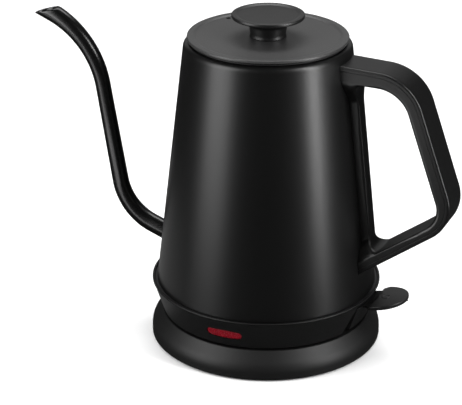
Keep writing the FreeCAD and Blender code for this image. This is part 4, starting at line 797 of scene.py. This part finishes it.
def paddleTop(x):
    # Height of the paddle's top face: a steady rise outward, with a step down to the neck.
    v = lever
    drop = v["neckDrop"] * smoothStep((v["neckEnd"] - x) / 1.2)
    return v["height"] + v["slope"] * (x - v["from"]) - drop


def makeLever():
    v = lever
    outline = rounded([
        (v["root"], -v["neckHalf"], 0.5),
        (v["neckEnd"] - 3.2, -v["neckHalf"], 2.0),
        (v["neckEnd"] - 1.2, -v["halfWidth"], 1.2),
        (v["middle"] + v["halfWidth"], -v["halfWidth"], v["halfWidth"] - 0.01),
        (v["middle"] + v["halfWidth"], v["halfWidth"], v["halfWidth"] - 0.01),
        (v["neckEnd"] + 2.6, v["halfWidth"], 1.0),
        (v["neckEnd"] - 0.6, v["neckHalf"] + 0.4, 1.0),
        (v["root"], v["neckHalf"], 0.5),
    ], 24)
    step = np.roll(outline, -1, axis=0) - np.roll(outline, 1, axis=0)
    out = np.stack([step[:, 1], -step[:, 0]], axis=-1)
    out = out / np.maximum(np.linalg.norm(out, axis=1, keepdims=True), 1e-9)
    centre = np.array([v["middle"], 0.0])
    bevel = v["edge"]
    rings = []
    for share in np.linspace(0, 1, 22):
        flat = centre + (outline - out * bevel - centre) * share
        rings.append(np.concatenate([flat, paddleTop(flat[:, :1])], axis=1))
    for a in np.linspace(0, math.pi / 2, 6)[1:]:
        flat = outline - out * bevel * (1 - math.sin(a))
        rings.append(np.concatenate([flat, paddleTop(flat[:, :1]) - bevel * (1 - math.cos(a))], axis=1))
    under = v["height"] + v["slope"] * (outline[:, :1] - v["from"]) - v["thick"]
    for inset, lift in ((0, bevel), (bevel * 0.3, bevel * 0.3), (bevel, 0)):
        flat = outline - out * inset
        rings.append(np.concatenate([flat, under + lift], axis=1))
    for share in (0.7, 0.4, 0.0):
        flat = centre + (outline - out * bevel - centre) * share
        rings.append(np.concatenate([flat, v["height"] + v["slope"] * (flat[:, :1] - v["from"]) - v["thick"]],
                                    axis=1))
    piece = gridPiece("switch_paddle", np.array(rings), sharp=50)
    settle(piece, "switch", ["leverPlastic"], ["switch_lever"])
    # the apron below it follows the skirt's cone and closes the notch
    profile = rounded([
        (skirtRadius(v["apronLow"]), v["apronLow"], 0.4),
        (skirtRadius(v["apronTop"]), v["apronTop"]),
        (skirtRadius(v["apronTop"]) - v["apronWall"], v["apronTop"]),
        (skirtRadius(v["apronLow"]) - v["apronWall"], v["apronLow"]),
    ], 5)
    half = np.arcsin(v["apronHalf"] / profile[:, 0])[:, None]
    across = np.linspace(-1, 1, 50)
    angle = half * across
    points = np.stack([
        profile[:, :1] * np.cos(angle),
        profile[:, :1] * np.sin(angle),
        np.repeat(profile[:, 1:], len(across), axis=1),
    ], axis=-1)
    apron = gridPiece("switch_apron", points, closeRows=True, closeColumns=False, capEnds=True)
    edge = apron.modifiers.new("edge", "BEVEL")
    edge.width = 0.35 * mm
    edge.segments = 3
    edge.limit_method = "ANGLE"
    settle(apron, "switch", ["skirtPlastic"])
    # the hub inside, bored to carry the pin; the arm that lifts the contact rod is not made here
    x, z = v["hinge"]
    half = v["hubHalf"]
    hub = rod("switch_hub", (x, -half, z), (x, half, z), v["hub"], 40)
    cutBy(hub, [rod("pinCutter", (x, -half - 2, z), (x, half + 2, z), v["hubBore"], 32)])
    settle(hub, "switch", ["leverPlastic"])
    # a raised ring marks where the finger presses
    turn = np.arange(64) / 64 * fullTurn
    section = (np.arange(12) / 12 * fullTurn)[:, None]
    reach = v["markRadius"] + v["markLine"] * np.cos(section)
    x = v["markAt"] + reach * np.cos(turn)
    y = reach * np.sin(turn)
    z = paddleTop(x) + v["markLine"] * 0.5 * np.sin(section)
    mark = gridPiece("switch_mark", np.stack([x, y, z], axis=-1), closeRows=True)
    settle(mark, "switch", ["leverPlastic"])


for stage, make in (("vessel", makeVessel), ("lid", makeLid), ("skirt", makeSkirt), ("lens", makeLens),
                    ("base", makeBase), ("spout", makeSpout), ("grip", makeGrip),
                    ("handle cover", makeHandleCover), ("lever", makeLever)):
    make()
    print("made:", stage)

view = {"turn": 21.86, "rise": 22.86, "distance": 1129.4, "lens": 146.7, "sensor": 36.0,
        "target": (0.0, 0.0, 100.0), "aside": 21.4, "below": 14.5}
studio = {
    # azimuth from the camera (right is positive), distance, height, width, tall, power, in mm and watts
    "leftSoftbox": (-62, 700, 330, 440, 800, 5.4),
    "rightStrip": (59, 620, 330, 150, 800, 5.2),
    "top": (170, 500, 1500, 3200, 3200, 46.0),
    "back": (180, 1500, 500, 1800, 700, 1.4),
    "hair": (178, 520, 1150, 900, 420, 6.0),
}


def makeFloor():
    size = 6000
    corners = np.array([[[-size, -size, 0], [size, -size, 0]], [[-size, size, 0], [size, size, 0]]], float)
    floor = gridPiece("floor", corners, closeColumns=False)
    floor.data.materials.append(finish("paleFloor", dict(
        dark="#f9f9f9", light="#fdfdfd", rough=(0.7, 0.8), grain=2.0, depth=0.01, bump=0.05, specular=0.2)))
    floor.visible_glossy = False


def direction(turn, rise):
    turn = math.radians(turn)
    rise = math.radians(rise)
    return Vector((math.sin(turn) * math.cos(rise), -math.cos(turn) * math.cos(rise), math.sin(rise)))


def addLight(name, turn, distance, height, width, tall, power):
    data = bpy.data.lights.new(name, "AREA")
    data.shape = "RECTANGLE"
    data.size = width * mm
    data.size_y = tall * mm
    data.energy = power
    lamp = bpy.data.objects.new(name, data)
    bpy.context.scene.collection.objects.link(lamp)
    spot = direction(view["turn"] + turn, 0) * distance * mm
    spot.z = height * mm
    aim = Vector((0, 0, 0.1)) - spot
    lamp.location = spot
    lamp.rotation_euler = aim.to_track_quat("-Z", "Y").to_euler()
    lamp.visible_camera = False
    return lamp


def makeCamera():
    data = bpy.data.cameras.new("photoCamera")
    data.sensor_width = view["sensor"]
    data.lens = view["lens"]
    camera = bpy.data.objects.new("photoCamera", data)
    bpy.context.scene.collection.objects.link(camera)
    target = Vector(view["target"]) * mm
    away = direction(view["turn"], view["rise"])
    right = Vector((math.cos(math.radians(view["turn"])), math.sin(math.radians(view["turn"])), 0))
    up = away.cross(right)
    camera.location = target + away * view["distance"] * mm
    aim = target - right * view["aside"] * mm - up * view["below"] * mm
    camera.rotation_euler = (aim - camera.location).to_track_quat("-Z", "Y").to_euler()
    bpy.context.scene.camera = camera


def addCard(name, x, y, width, deep, power, receivers):
    # A bright card lying on the table that only the named pieces see.
    card = addLight(name, 0, 0, 1, width, deep, power)
    card.location = Vector((x, y, 1)) * mm
    card.rotation_euler = (math.pi, 0, 0)
    group = bpy.data.collections.new(name + "Receivers")
    for receiver in receivers:
        group.objects.link(bpy.data.objects[receiver])
    card.light_linking.receiver_collection = group


makeFloor()
lamps = {name: addLight(name, *values) for name, values in studio.items()}
lamps["top"].visible_glossy = False
addCard("frontCard", -170, -290, 300, 230, 0.65, ["handle_inner_shell", "handle_outer_shell", "spout_neck"])
addCard("edgeCard", -190, 60, 240, 300, 0.06, ["vessel_body", "skirt_wall", "skirt_lip"])
makeCamera()
world = bpy.data.worlds.new("studioAir")
world.use_nodes = True
world.node_tree.nodes["Background"].inputs["Color"].default_value = linear("#ffffff")
world.node_tree.nodes["Background"].inputs["Strength"].default_value = 0.035
bpy.context.scene.world = world
bpy.context.scene.view_settings.view_transform = "Standard"
print("stage set")
